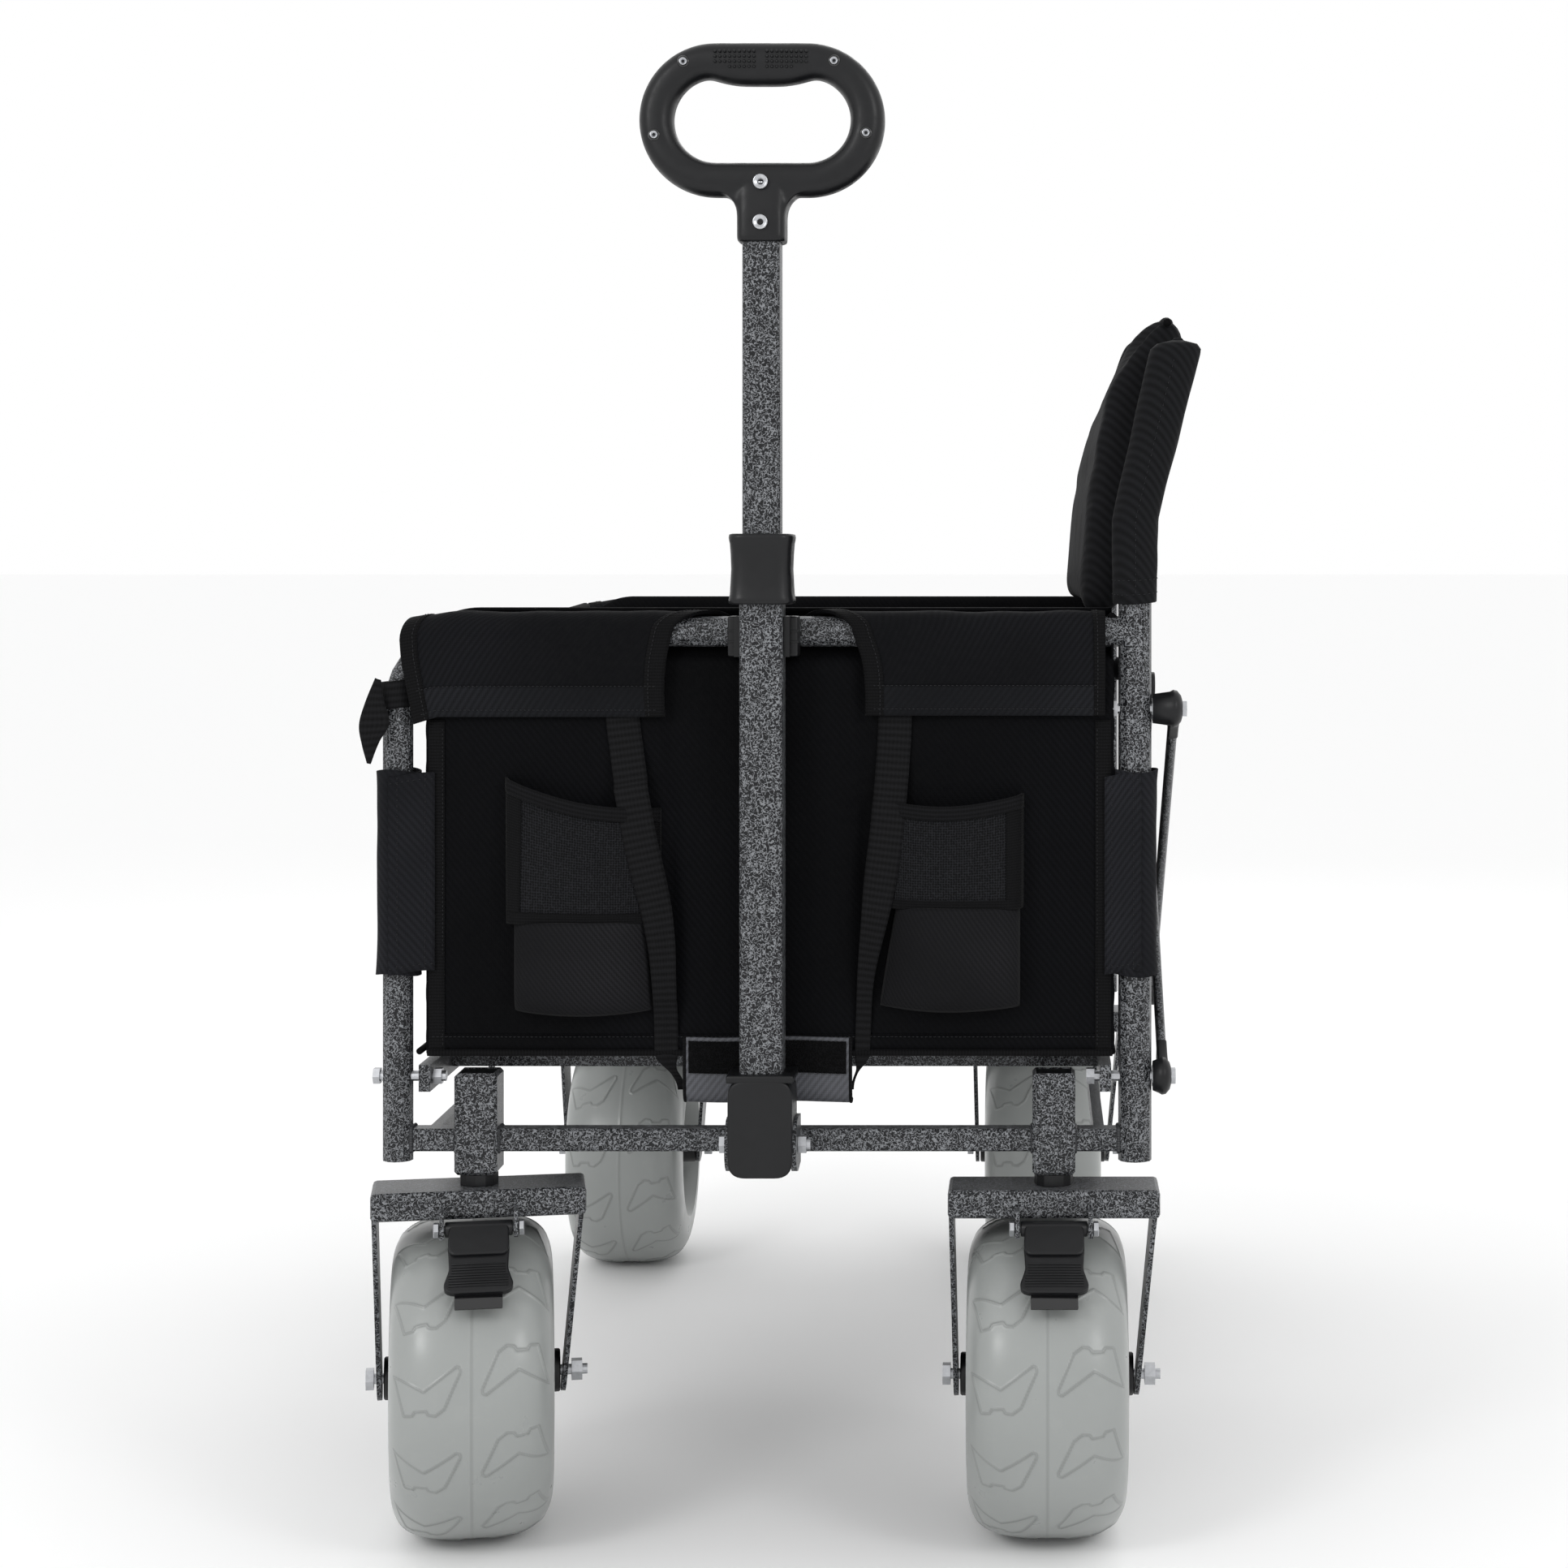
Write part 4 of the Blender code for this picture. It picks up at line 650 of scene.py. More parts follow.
def keep(names, material, rounding):
    """Give CAD nodes a finished material, smooth round faces and softened edges."""
    for name in names:
        obj = NODES[name]
        obj.data.materials.clear()
        obj.data.materials.append(material)
        obj.data.shade_smooth()
        obj.data.set_sharp_from_angle(angle=SHARP)
        if rounding:
            edge = obj.modifiers.new("edges", "BEVEL")
            edge.width = rounding
            edge.segments = 2
            edge.limit_method = "ANGLE"
            edge.angle_limit = SHARP
            edge.harden_normals = False


def kept_nodes():
    """The metal parts of the CAD model that show as they are, in their own finishes."""
    names = list(NODES)
    bolts = [n for n in names if "bolt" in n]
    keep([n for n in bolts if "king" not in n], ZINC, 0.0004)
    keep([n for n in bolts if "king" in n], PLASTIC, 0.0004)
    keep([n for n in names if n.startswith("fork_")], COAT, 0.0006)
    keep(["floor_frame_front", "floor_frame_rear"], COAT, 0.0006)
    keep(["front_frame", "rear_frame"], COAT, 0.0006)
    keep(["handle_outer_tube", "handle_inner_tube"], COAT, 0.0)
    keep(["handle_clip"], PLASTIC, 0.0008)


# ------------------------------------------------------------------ tyres and hubs

TREAD_COUNT = 12                  # blocks round each half of a tyre
TREAD_SKEW = math.radians(6.35)   # how far the right half's blocks run ahead of the left's
TREAD_START = math.radians(9.9)
TREAD_RIDGE = 0.0012              # half the width of the raised outline
TREAD_HEIGHT = 0.0010
# One block's outline on the left half, in metres: (from the tyre's centre line, round the tyre)
TREAD_BLOCK = [(-0.056, 0.0125), (-0.034, 0.0), (-0.0105, 0.0170), (-0.0080, 0.0160), (-0.0078, 0.0130),
               (-0.0190, -0.0123), (-0.0255, -0.0172), (-0.0305, -0.0165), (-0.0322, -0.0135),
               (-0.0400, -0.0142), (-0.0420, -0.0175), (-0.0480, -0.0182), (-0.0545, 0.0080)]


def tread_height(across, around, radius):
    """How far the raised outlines and the centre seam stand out at points of the tyre."""
    pitch = 2 * math.pi / TREAD_COUNT
    nearest = np.full(across.shape, 1.0)
    for sign, skew in ((1.0, 0.0), (-1.0, TREAD_SKEW)):
        turned = (around - TREAD_START - skew + pitch / 2) % pitch - pitch / 2
        x = across * sign
        y = turned * radius * sign
        corners = TREAD_BLOCK + [TREAD_BLOCK[0]]
        for (ax, ay), (bx, by) in zip(corners, corners[1:]):
            dx, dy = bx - ax, by - ay
            share = np.clip(((x - ax) * dx + (y - ay) * dy) / (dx * dx + dy * dy), 0.0, 1.0)
            distance = np.hypot(x - ax - share * dx, y - ay - share * dy)
            nearest = np.minimum(nearest, np.where(x < 0.0, distance, 1.0))
    ridge = np.clip(1.0 - nearest / TREAD_RIDGE, 0.0, 1.0)
    ridge = ridge * ridge * (3 - 2 * ridge)
    seam = np.clip(1.0 - np.abs(across) / 0.0010, 0.0, 1.0)
    return TREAD_HEIGHT * ridge + 0.0005 * seam


def tyre_mesh(name, radius, half_width, bore):
    """A balloon tyre about the X axis at the origin, its front towards -Y."""
    steps = 720
    crown_steps = 170
    fine = np.linspace(0.0, math.pi, 4000)
    power = 2 / 3.2                            # of the section's rounded-square outline
    x = half_width * np.sign(np.cos(fine)) * np.abs(np.cos(fine)) ** power
    r = bore + 0.006 + (radius - bore - 0.006 - 0.0004) * np.sin(fine) ** power
    length = np.concatenate([[0.0], np.cumsum(np.hypot(np.diff(x), np.diff(r)))])
    even = np.linspace(0.0, length[-1], crown_steps)
    x = np.interp(even, length, x)
    r = np.interp(even, length, r)
    bead = 0.036
    x = np.concatenate([x, [-bead - 0.004, -bead, bead, bead + 0.004]])
    r = np.concatenate([r, [bore + 0.0015, bore, bore, bore + 0.0015]])
    angles = np.arange(steps) * 2 * math.pi / steps
    across, around = np.meshgrid(x, angles, indexing="ij")
    base = np.repeat(r[:, None], steps, axis=1)
    crown = np.clip((base - radius * 0.80) / (radius * 0.08), 0.0, 1.0)
    lift = base + crown * tread_height(across, around, radius)
    points = np.stack([across, -lift * np.cos(around), lift * np.sin(around)], axis=-1)
    closed = np.concatenate([points, points[:1]])
    mesh = welded(grid_mesh(name, closed, True))
    places = np.empty(len(mesh.vertices) * 3)
    mesh.vertices.foreach_get("co", places)
    x, y, z = places.reshape(-1, 3).T
    # The ridge attribute gives the tyre material the tread's height; the material paints shade on the ridge
    # flanks from it.
    outer = np.hypot(y, z) > radius * 0.85
    ridge = outer * tread_height(x, np.arctan2(z, -y), radius) / TREAD_HEIGHT
    mesh.attributes.new("ridge", "FLOAT", "POINT").data.foreach_set("value", ridge)
    return mesh


WEB = 0.020                       # half the thickness of a hub's web


def hub_mesh(name, rim, half):
    """A moulded hub: rim with lips, dished web and long spacer tubes; the web's ribs are made apart in
    hub_ribs.
    """
    bore = 0.0043
    spacer = 0.0160
    profile = [(bore, half), (spacer - 0.001, half), (spacer, half - 0.001), (spacer + 0.0005, WEB + 0.006),
               (spacer + 0.004, WEB + 0.002), (rim - 0.020, WEB), (rim - 0.010, WEB + 0.001),
               (rim - 0.006, WEB + 0.006), (rim - 0.005, 0.0390), (rim - 0.004, 0.040), (rim - 0.0005, 0.040)]
    profile += [(r, -x) for r, x in reversed(profile)]
    return lathe(name, profile, 72, Vector((0.0, 0.0, 0.0)))


def hub_ribs(name, rim):
    """Eight stiffening ribs on each face of the hub's web."""
    bm = bmesh.new()
    for face in (-1, 1):
        for k in range(8):
            turn = Matrix.Rotation(2 * math.pi * k / 8, 4, "X")
            middle_radius = (0.0135 + rim - 0.007) / 2
            size = (0.008, 0.0026, rim - 0.0205)
            bmesh.ops.create_cube(bm, size=1.0, matrix=turn
                                  @ Matrix.Translation((face * (WEB + 0.0035), 0.0, middle_radius))
                                  @ Matrix.Diagonal((*size, 1.0)))
    bmesh.ops.bevel(bm, geom=bm.edges[:], offset=0.0006, segments=2, affect="EDGES")
    return solid_mesh(name, bm)


def wheels():
    """The same tyre, hub and ribs at each wheel's own axle."""
    low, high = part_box("tyre_front_right")
    radius = (high.z - low.z) / 2
    half_width = (high.x - low.x) / 2
    hub_low, hub_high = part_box("hub_front_right")
    rim = (hub_high.z - hub_low.z) / 2
    hub_half = (hub_high.x - hub_low.x) / 2
    patterns = {"tyre": tyre_mesh("tyre_pattern", radius, half_width, rim + 0.0004),
                "hub": hub_mesh("hub_pattern", rim, hub_half),
                "ribs": hub_ribs("ribs_pattern", rim)}
    for end in ("front", "rear"):
        for side, _ in SIDES:
            label = end + "_" + side
            joint = JOINTS["wheel_" + label + "_spin"]
            place = Matrix.Translation(joint["pos_m"]) @ along_axis(joint["axis"])
            for kind, material in (("tyre", TYRE), ("hub", HUB_PLASTIC), ("ribs", HUB_PLASTIC)):
                mesh = patterns[kind].copy()
                mesh.transform(place)
                piece = add(kind + "_skin_" + label, mesh, material, "wheel_" + label)
                if kind == "hub":
                    mesh.set_sharp_from_angle(angle=math.radians(50))
                if kind != "ribs":
                    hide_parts(kind + "_" + label)
                else:
                    mesh.set_sharp_from_angle(angle=math.radians(40))


# ------------------------------------------------------------------ brake pedals

BRAKE_SLOPE = math.radians(42.5)


def arc_corners(outline, rounding, steps=4):
    """The outline with its corners rounded by short arcs."""
    points = [Vector(p) for p in outline]
    out = []
    count = len(points)
    for i, corner in enumerate(points):
        before = points[i - 1]
        after = points[(i + 1) % count]
        reach = min(rounding, (before - corner).length / 2.2, (after - corner).length / 2.2)
        start = corner + (before - corner).normalized() * reach
        end = corner + (after - corner).normalized() * reach
        for k in range(steps + 1):
            t = k / steps
            out.append(tuple((1 - t) ** 2 * start + 2 * t * (1 - t) * corner + t * t * end))
    return out


def mirrored(half_outline):
    """A closed outline from its right half, listed from top to bottom."""
    return [tuple(p) for p in half_outline] + [(-x, y) for x, y in reversed(half_outline)]


# The pedal's moulded slabs: right half outline, corner rounding, thickness, lift, rim rounding and its steps
BRAKE_SLABS = {
    "tread": ([(0.0225, -0.014), (0.0215, -0.030), (0.0212, -0.036), (0.0232, -0.043), (0.0252, -0.049),
               (0.0240, -0.0540), (0.0195, -0.0562)], 0.004, 0.0052, 0.0, 0.0013, 3),
    "cover": ([(0.0165, 0.0035), (0.0218, -0.0015), (0.0222, -0.019), (0.0195, -0.0255)],
              0.004, 0.0050, 0.0030, 0.0014, 3),
    "tongue": ([(0.0172, -0.045), (0.0172, -0.0675)], 0.0008, 0.0016, -0.0022, 0.0003, 2)}


def brakes():
    """Foot pedals: a flared tread with ribs, a cover, a tongue, and a barrel on its pin with two nuts."""
    for side, _ in SIDES:
        joint = JOINTS["brake_" + side + "_press"]
        body = "brake_" + side
        axis = Vector(joint["axis"])
        pin_place = Vector(joint["pos_m"])
        # in the pedal's own space X runs along the pin, -Y down the pedal and Z out of its face
        lie = Matrix.Rotation(-(math.pi / 2 - BRAKE_SLOPE), 4, "X") @ Matrix.Rotation(math.pi / 2, 4, "X")
        space = Matrix.Translation(pin_place) @ along_axis(axis) @ lie
        for kind, (half, corner, thickness, lift, rim, segments) in BRAKE_SLABS.items():
            mesh = outline_slab(kind, arc_corners(mirrored(half), corner), thickness,
                                space @ Matrix.Translation((0, 0, lift)), rim, segments)
            slab = add("brake_%s_%s" % (kind, side), mesh, GLOSSY if kind == "tongue" else PLASTIC, body)
            if kind == "tread":
                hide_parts("brake_pedal_" + side)
        ribs = bmesh.new()
        for k in range(9):
            v = -0.0325 - 0.0023 * k
            half = 0.0195 if v > -0.040 else 0.0215
            bmesh.ops.create_cube(ribs, size=1.0, matrix=space @ Matrix.Translation((0, v, 0.0028))
                                  @ Matrix.Diagonal((2 * half, 0.0009, 0.0010, 1.0)))
        bmesh.ops.bevel(ribs, geom=ribs.edges[:], offset=0.0002, segments=1, affect="EDGES")
        add("brake_ribs_" + side, solid_mesh("ribs", ribs), PLASTIC, body)
        barrel = lathe("barrel", [(0.0030, -0.0246), (0.0052, -0.0246), (0.0057, -0.0238), (0.0057, 0.0238),
                                  (0.0052, 0.0246), (0.0030, 0.0246)], 24, pin_place, axis)
        add("brake_barrel_" + side, barrel, PLASTIC, body)
        pin = lathe("pin", [(0.0, -0.0325), (0.0024, -0.0325), (0.0030, -0.0319), (0.0030, 0.0319),
                            (0.0024, 0.0325), (0.0, 0.0325)], 20, pin_place, axis)
        add("brake_pin_" + side, pin, ZINC, body)
        for end in (-1, 1):
            where = pin_place + axis * end * 0.0310
            nut = lathe("nut", [(0.0031, -0.0021), (0.0052, -0.0021), (0.0058, -0.0015), (0.0058, 0.0015),
                                (0.0052, 0.0021), (0.0031, 0.0021)], 6, where, axis)
            piece = add("brake_nut_" + side + ("_inner" if end < 0 else "_outer"), nut, ZINC, body)
            piece.data.set_sharp_from_angle(angle=math.radians(30))


# ------------------------------------------------------------------ handle grip

GRIP_THICK = 0.0128               # half the loop's section in its own plane
GRIP_DEEP = 0.0150                # and across it


def stadium(t, straight, radius):
    """A place on the loop's centre line and the way out of the loop there.

    t runs from 0 to 4: the top straight, the left arc, the bottom straight and the right arc.
    """
    if t < 1 or 2 <= t < 3:
        side = 1 if t < 1 else -1
        return Vector((straight * (1 - 2 * (t % 1)) * side, 0, side * radius)), Vector((0, 0, side))
    side = -1 if t < 2 else 1
    angle = -side * math.pi / 2 + (t % 1) * math.pi
    out = Vector((math.cos(angle), 0, math.sin(angle)))
    return Vector((side * straight, 0, 0)) + out * radius, out


def grip():
    """Two moulded half shells: a stadium-shaped loop whose top rail swells, run into a square neck."""
    low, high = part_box("grip_front_shell")
    back_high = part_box("grip_rear_shell")[1]
    centre_x = (low.x + high.x) / 2
    centre_y = FRONT_Y + HANDLE_Y
    top = high.z
    bottom = JOINTS["handle_tilt"]["pos_m"][2] + 0.701            # underside of the loop
    neck_bottom = low.z
    half_width = (high.x - low.x) / 2 - GRIP_THICK
    middle_z = (top + bottom) / 2
    half_height = (top - bottom) / 2 - GRIP_THICK
    straight = half_width - half_height
    bm = bmesh.new()
    rings = []
    count = 120
    sides = 28
    for i in range(count):
        point, out = stadium(4.0 * i / count, straight, half_height)
        swell = 0.0030 * math.exp(-(point.x / 0.034) ** 4) if point.z > half_height * 0.9 else 0.0
        ring = []
        for c, s in turns(sides):
            inward = GRIP_THICK * rounded(c, 0.75)
            if c < 0:
                inward -= 2 * swell * abs(c) ** 0.75
            across = (GRIP_DEEP + 0.4 * swell) * rounded(s, 0.75)
            ring.append(bm.verts.new(point + out * inward + Vector((0, across, 0))))
        rings.append(ring)
    for i in range(count):
        after = rings[(i + 1) % count]
        for k in range(sides):
            n = (k + 1) % sides
            bm.faces.new((rings[i][k], rings[i][n], after[n], after[k]))
    bm.transform(Matrix.Translation((centre_x, centre_y, middle_z)))
    loop = add("grip_loop", solid_mesh("grip_loop", bm), PLASTIC)
    neck_half = (back_high.y - low.y) / 2
    rings = []
    for z, wide, deep in ((neck_bottom, 0.96, 0.96), (neck_bottom + 0.0015, 1.0, 1.0),
                          (bottom - 0.016, 1.0, 1.0), (bottom - 0.008, 1.0, 0.97), (bottom, 1.0, 0.89),
                          (bottom + 0.008, 0.95, 0.82), (bottom + 0.014, 0.8, 0.78)):
        rings.append([(centre_x + neck_half * wide * rounded(c, 0.35),
                       centre_y + neck_half * deep * rounded(s, 0.35), z) for c, s in turns(48)])
    neck = tube("grip_neck", rings)
    fillets = []
    reach = 0.016
    for sign in (-1, 1):
        x, z = centre_x + sign * neck_half, bottom + 0.003
        arc = []
        for k in range(9):
            angle = math.pi / 2 * k / 8
            arc.append((x + sign * reach * (1 - math.cos(angle)), z - reach * (1 - math.sin(angle))))
        arc += [(x - sign * 0.006, z + 0.003), (x - sign * 0.006, z - reach)]
        if sign > 0:
            arc.reverse()
        lie = Matrix.Translation((0.0, centre_y, 0.0)) @ Matrix.Rotation(math.pi / 2, 4, "X")
        fillets.append(outline_slab("fillet", arc, 0.0265, lie))
    join = bmesh.new()
    for mesh in [loop.data, neck] + fillets:
        join.from_mesh(mesh)
    join.to_mesh(loop.data)
    join.free()
    voxels = loop.modifiers.new("melt", "REMESH")
    voxels.mode = "VOXEL"
    voxels.voxel_size = 0.0014
    smooth = loop.modifiers.new("soften", "SMOOTH")
    smooth.iterations = 12
    smooth.factor = 0.5
    applied(loop)
    for end, sign in (("front", -1), ("rear", 1)):
        name = "grip_shell_" + end
        half = bmesh.new()
        half.from_mesh(loop.data)
        plane = Vector((0.0, centre_y + sign * 0.00025, 0.0))
        cutline = bmesh.ops.bisect_plane(half, geom=half.verts[:] + half.edges[:] + half.faces[:], dist=1e-6,
                                         plane_co=plane, plane_no=(0.0, -sign, 0.0), clear_outer=True)
        rim = [g for g in cutline["geom_cut"] if isinstance(g, bmesh.types.BMEdge)]
        bmesh.ops.triangle_fill(half, edges=rim, use_beauty=True)
        shell = add(name, solid_mesh(name, half), PLASTIC, "handle_top")
        shell.data.set_sharp_from_angle(angle=math.radians(55))
        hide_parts("grip_%s_shell" % end)
    bpy.data.objects.remove(loop, do_unlink=True)
    face = centre_y - GRIP_DEEP
    grip_bumps(centre_x, face, top - GRIP_THICK)
    screws = [(-0.057, top - 0.0155), (0.054, top - 0.0150), (-0.0785, middle_z - 0.0125),
              (0.0775, middle_z - 0.0110)]
    for k, (x, z) in enumerate(screws):
        screw("grip_screw_%d" % k, Vector((centre_x + x, face - 0.0012, z)), 0.0027)
        recess = lathe("recess", [(0.0024, -0.0006), (0.0040, -0.0006), (0.0046, 0.0004), (0.0046, 0.0030),
                                  (0.0024, 0.0030)], 28, Vector((centre_x + x, face, z)), (0.0, 1.0, 0.0))
        add("grip_recess_%d" % k, recess, GLOSSY, "handle_top")
    for k, z in enumerate((bottom + 0.010, neck_bottom + 0.014)):
        reach = face - 0.0004 if k == 0 else centre_y - neck_half
        screw("grip_bolt_%d" % k, Vector((centre_x, reach - 0.0016, z)), 0.0054)


def grip_bumps(x, y, z):
    """Two blocks of small raised studs on the front of the top rail."""
    bm = bmesh.new()
    for side in (-1, 1):
        for row in range(4):
            for column in range(9 if row < 3 else 6):
                lean = 0.0007 * max(0.0, abs(row - 1.2) - 0.8) ** 2 - 0.0008
                lean -= 0.0012 * math.exp(-((0.0048 + 0.0036 * column) / 0.034) ** 4)
                centre = (x + side * (0.0048 + 0.0036 * column), y + 0.0004 + lean, z + 0.0048 - 0.0038 * row)
                bmesh.ops.create_uvsphere(bm, u_segments=10, v_segments=6, radius=1.0,
                                          matrix=Matrix.Translation(centre)
                                          @ Matrix.Diagonal((0.0012, 0.0013, 0.0012, 1.0)))
    add("grip_bumps", solid_mesh("grip_bumps", bm), PLASTIC, "handle_top")


def screw(name, where, radius):
    """A button head with a round recess, facing the front."""
    profile = [(0.0, 0.0022), (radius * 0.35, 0.0022), (radius * 0.42, 0.0006), (radius * 0.5, 0.0002),
               (radius * 0.8, -0.0002), (radius, -0.0009), (radius, 0.0024), (0.0, 0.0026)]
    add(name, lathe(name, profile, 20, where, (0.0, 1.0, 0.0)), ZINC, "handle_top")


# ------------------------------------------------------------------ end walls of the basket

PANEL_LEFT = -0.2530              # edges of the end walls, from the mid-plane
PANEL_RIGHT = 0.2600
PANEL_FOLD = 0.652                # height where they start to turn in behind the crossbar


def panel_out(u, z, dressed):
    """How far an end wall stands out of its flat plane: fullness, soft folds and creases."""
    height = min(1.0, max(0.0, (z - BASKET_BOTTOM) / (BAR_HEIGHT - 0.02 - BASKET_BOTTOM)))
    fullness = math.sin(math.pi * height) ** 0.6 if 0 < height < 1 else 0.0
    centre = math.exp(-((u - 0.004) / 0.064) ** 4) * 0.0036
    flank = abs(u - 0.004) - 0.075
    pouch = 0.0030 * math.sin(math.pi * min(1.0, flank / 0.180)) if flank > 0 else 0.0
    folds = 0.0011 * lumps(u, z, 0.085, 3.1) + 0.0007 * lumps(u * 2.2, z * 0.6, 0.05, 8.4)
    slack = 0.0012 * lumps(u * 0.5, z, 0.030, 5.2) * smoothstep(abs(u), 0.20, 0.26)
    crease = -0.0018 * math.exp(-((abs(u - 0.002) - 0.072) / 0.006) ** 2) if dressed else 0.0
    return fullness * (centre + pouch) + folds * (0.3 + 0.7 * fullness) + slack + crease


def panel_face(u, z, dressed=True):
    """Distance ahead of the frame plane of the front wall's outer face."""
    return PANEL_BACK + TWILL_SHEET + 0.0012 + panel_out(u, z, dressed)


def hoop_drop(u):
    """How far the hoop's centre line lies below the crossbar's height at a distance from the mid-plane."""
    if u >= BEND_X:
        return 0.0
    return HOOP_BEND - math.sqrt(max(0.0, HOOP_BEND ** 2 - (u - BEND_X) ** 2))


def end_wall(name, end, body):
    """A stretched sheet from the bottom hem up behind the crossbar; end is -1 in front, 1 at the rear."""
    base = 0.0 if end < 0 else SPACING
    across = np.linspace(PANEL_LEFT, PANEL_RIGHT, 131)
    tuck = curve_through([(0, -0.0078, PANEL_FOLD), (0, -0.0050, 0.6625), (0, 0.0040, 0.6695),
                          (0, 0.0135, 0.680), (0, 0.0140, 0.694), (0, 0.0100, 0.7015)], 16)
    rows = []
    for z in np.linspace(BASKET_BOTTOM, PANEL_FOLD, 84):
        row = []
        for u in across:
            drop = hoop_drop(u) * smoothstep(z, 0.60, 0.66)
            edge = 0.0016 * math.sin(z * 95.0) * smoothstep(abs(u), 0.235, 0.26)
            out = panel_face(u, z, end < 0) - TWILL_SHEET / 2
            row.append(at(u + math.copysign(edge, u), base + end * out, z - drop))
        rows.append(row)
    for point in tuck[1:]:
        row = []
        for u in across:
            blend = smoothstep(point.z, PANEL_FOLD, 0.670)
            flat = -panel_face(u, PANEL_FOLD, end < 0) + TWILL_SHEET / 2
            depth = flat * (1 - blend) + point.y * blend
            row.append(at(u, base + (depth if end < 0 else -depth), point.z - hoop_drop(u)))
        rows.append(row)
    piece = cloth(name, rows, TWILL)
    settle(piece, body)
    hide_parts("front_wall" if end < 0 else "rear_wall")

    def on_face(u, z, lift, rise=0.0):
        """A place standing out of the wall's face, lifted from it, and a little higher."""
        return at(u, base + end * (panel_face(u, z, end < 0) + lift), z + rise)

    hem = [on_face(u, BASKET_BOTTOM, 0.0004, 0.0008) for u in np.linspace(PANEL_LEFT, PANEL_RIGHT, 60)]
    piping(name + "_piping", hem, 0.0026, body)
    columns = np.linspace(PANEL_LEFT + 0.001, PANEL_RIGHT - 0.001, 90)
    band = [[on_face(u, BASKET_BOTTOM + rise, 0.0006) for u in columns] for rise in (0.003, 0.008, 0.0145)]
    settle(cloth(name + "_hem", band, TWILL, 0.0008), body)
    seam = [on_face(u, BASKET_BOTTOM + 0.013, 0.0012, -0.0002)
            for u in np.linspace(PANEL_LEFT + 0.003, PANEL_RIGHT - 0.003, 60)]
    stitches(name + "_hem_stitches", seam, body)
    for side, sign in SIDES:
        side_band(name, side, sign, on_face, body)


def side_band(name, side, sign, on_face, body):
    """The doubled edge down each side of an end wall, with its stitching."""
    outer = PANEL_LEFT + 0.001 if sign < 0 else PANEL_RIGHT - 0.001
    rows = []
    for z in np.linspace(BASKET_BOTTOM + 0.002, 0.618, 60):
        rows.append([on_face(outer - sign * w, z, 0.0007) for w in (0.0, 0.004, 0.008, 0.012)])
    settle(cloth(name + "_edge_" + side, rows, DARK_BINDING, 0.0008), body)
    seam = [on_face(outer, z, 0.0013) - Vector((sign * 0.0105, 0.0, 0.0))
            for z in np.linspace(BASKET_BOTTOM + 0.006, 0.612, 50)]
    stitches(name + "_edge_stitches_" + side, seam, body)


# ------------------------------------------------------------------ side walls, floor and corners

def rim_height(y, sign):
    """Height of a side wall's rim: it sags between the frames and, on the left, dips under the bends."""
    along = min(1.0, max(0.0, y / SPACING))
    dip = 0.0
    if sign < 0:
        dip = 0.046 * (1 - smoothstep(min(y, SPACING - y), 0.004, 0.060))
    sag = 0.010 if sign < 0 else 0.002
    return SIDE_TOP - sag * math.sin(math.pi * along) - dip


def side_walls():
    """The long walls: sheets hung between the frames."""
    for side, sign in SIDES:
        low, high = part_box(side + "_wall")
        plane = (low.x + high.x) / 2 - MID
        rows = []
        for z in np.linspace(BASKET_BOTTOM, SIDE_TOP, 60):
            height = (z - BASKET_BOTTOM) / (SIDE_TOP - BASKET_BOTTOM)
            row = []
            for y in np.linspace(-0.0062, SPACING + 0.0062, 150):
                along = min(1.0, max(0.0, y / SPACING))
                sag = (SIDE_TOP - rim_height(y, sign)) * height ** 2
                belly = 0.006 * math.sin(math.pi * height) * math.sin(math.pi * along) ** 0.5
                free = smoothstep(along, 0.03, 0.10) * smoothstep(1 - along, 0.03, 0.10)
                folds = free * (0.0022 * lumps(y, z, 0.11, 2.0 + sign)
                                + 0.0014 * lumps(y * 1.7, z * 0.5, 0.05, 7.0 + sign))
                corner = 0.0065 * (1 - smoothstep(min(y, SPACING - y), -0.006, 0.030)) if sign < 0 else 0.0
                row.append(at(plane + sign * (folds - 0.4 * belly * free - corner), y, z - sag))
            rows.append(row)
        wall = cloth(side + "_side", rows, TWILL)
        settle(wall, "front", True)
        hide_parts(side + "_wall")
        along = np.linspace(-0.004, SPACING + 0.004, 120)
        rim = [at(plane, y, rim_height(y, sign)) for y in along]
        base = [at(plane, y, BASKET_BOTTOM + 0.001) for y in along]
        piping(side + "_rim_binding", rim, 0.0042, "front", True, flat=1.5)
        piping(side + "_bottom_piping", base, 0.0026, "front", True)
        line = [p - Vector((-sign * 0.0018, 0.0, 0.014)) for p in rim]
        stitches(side + "_rim_stitches", line, "front", 0.0045, squashed=True)


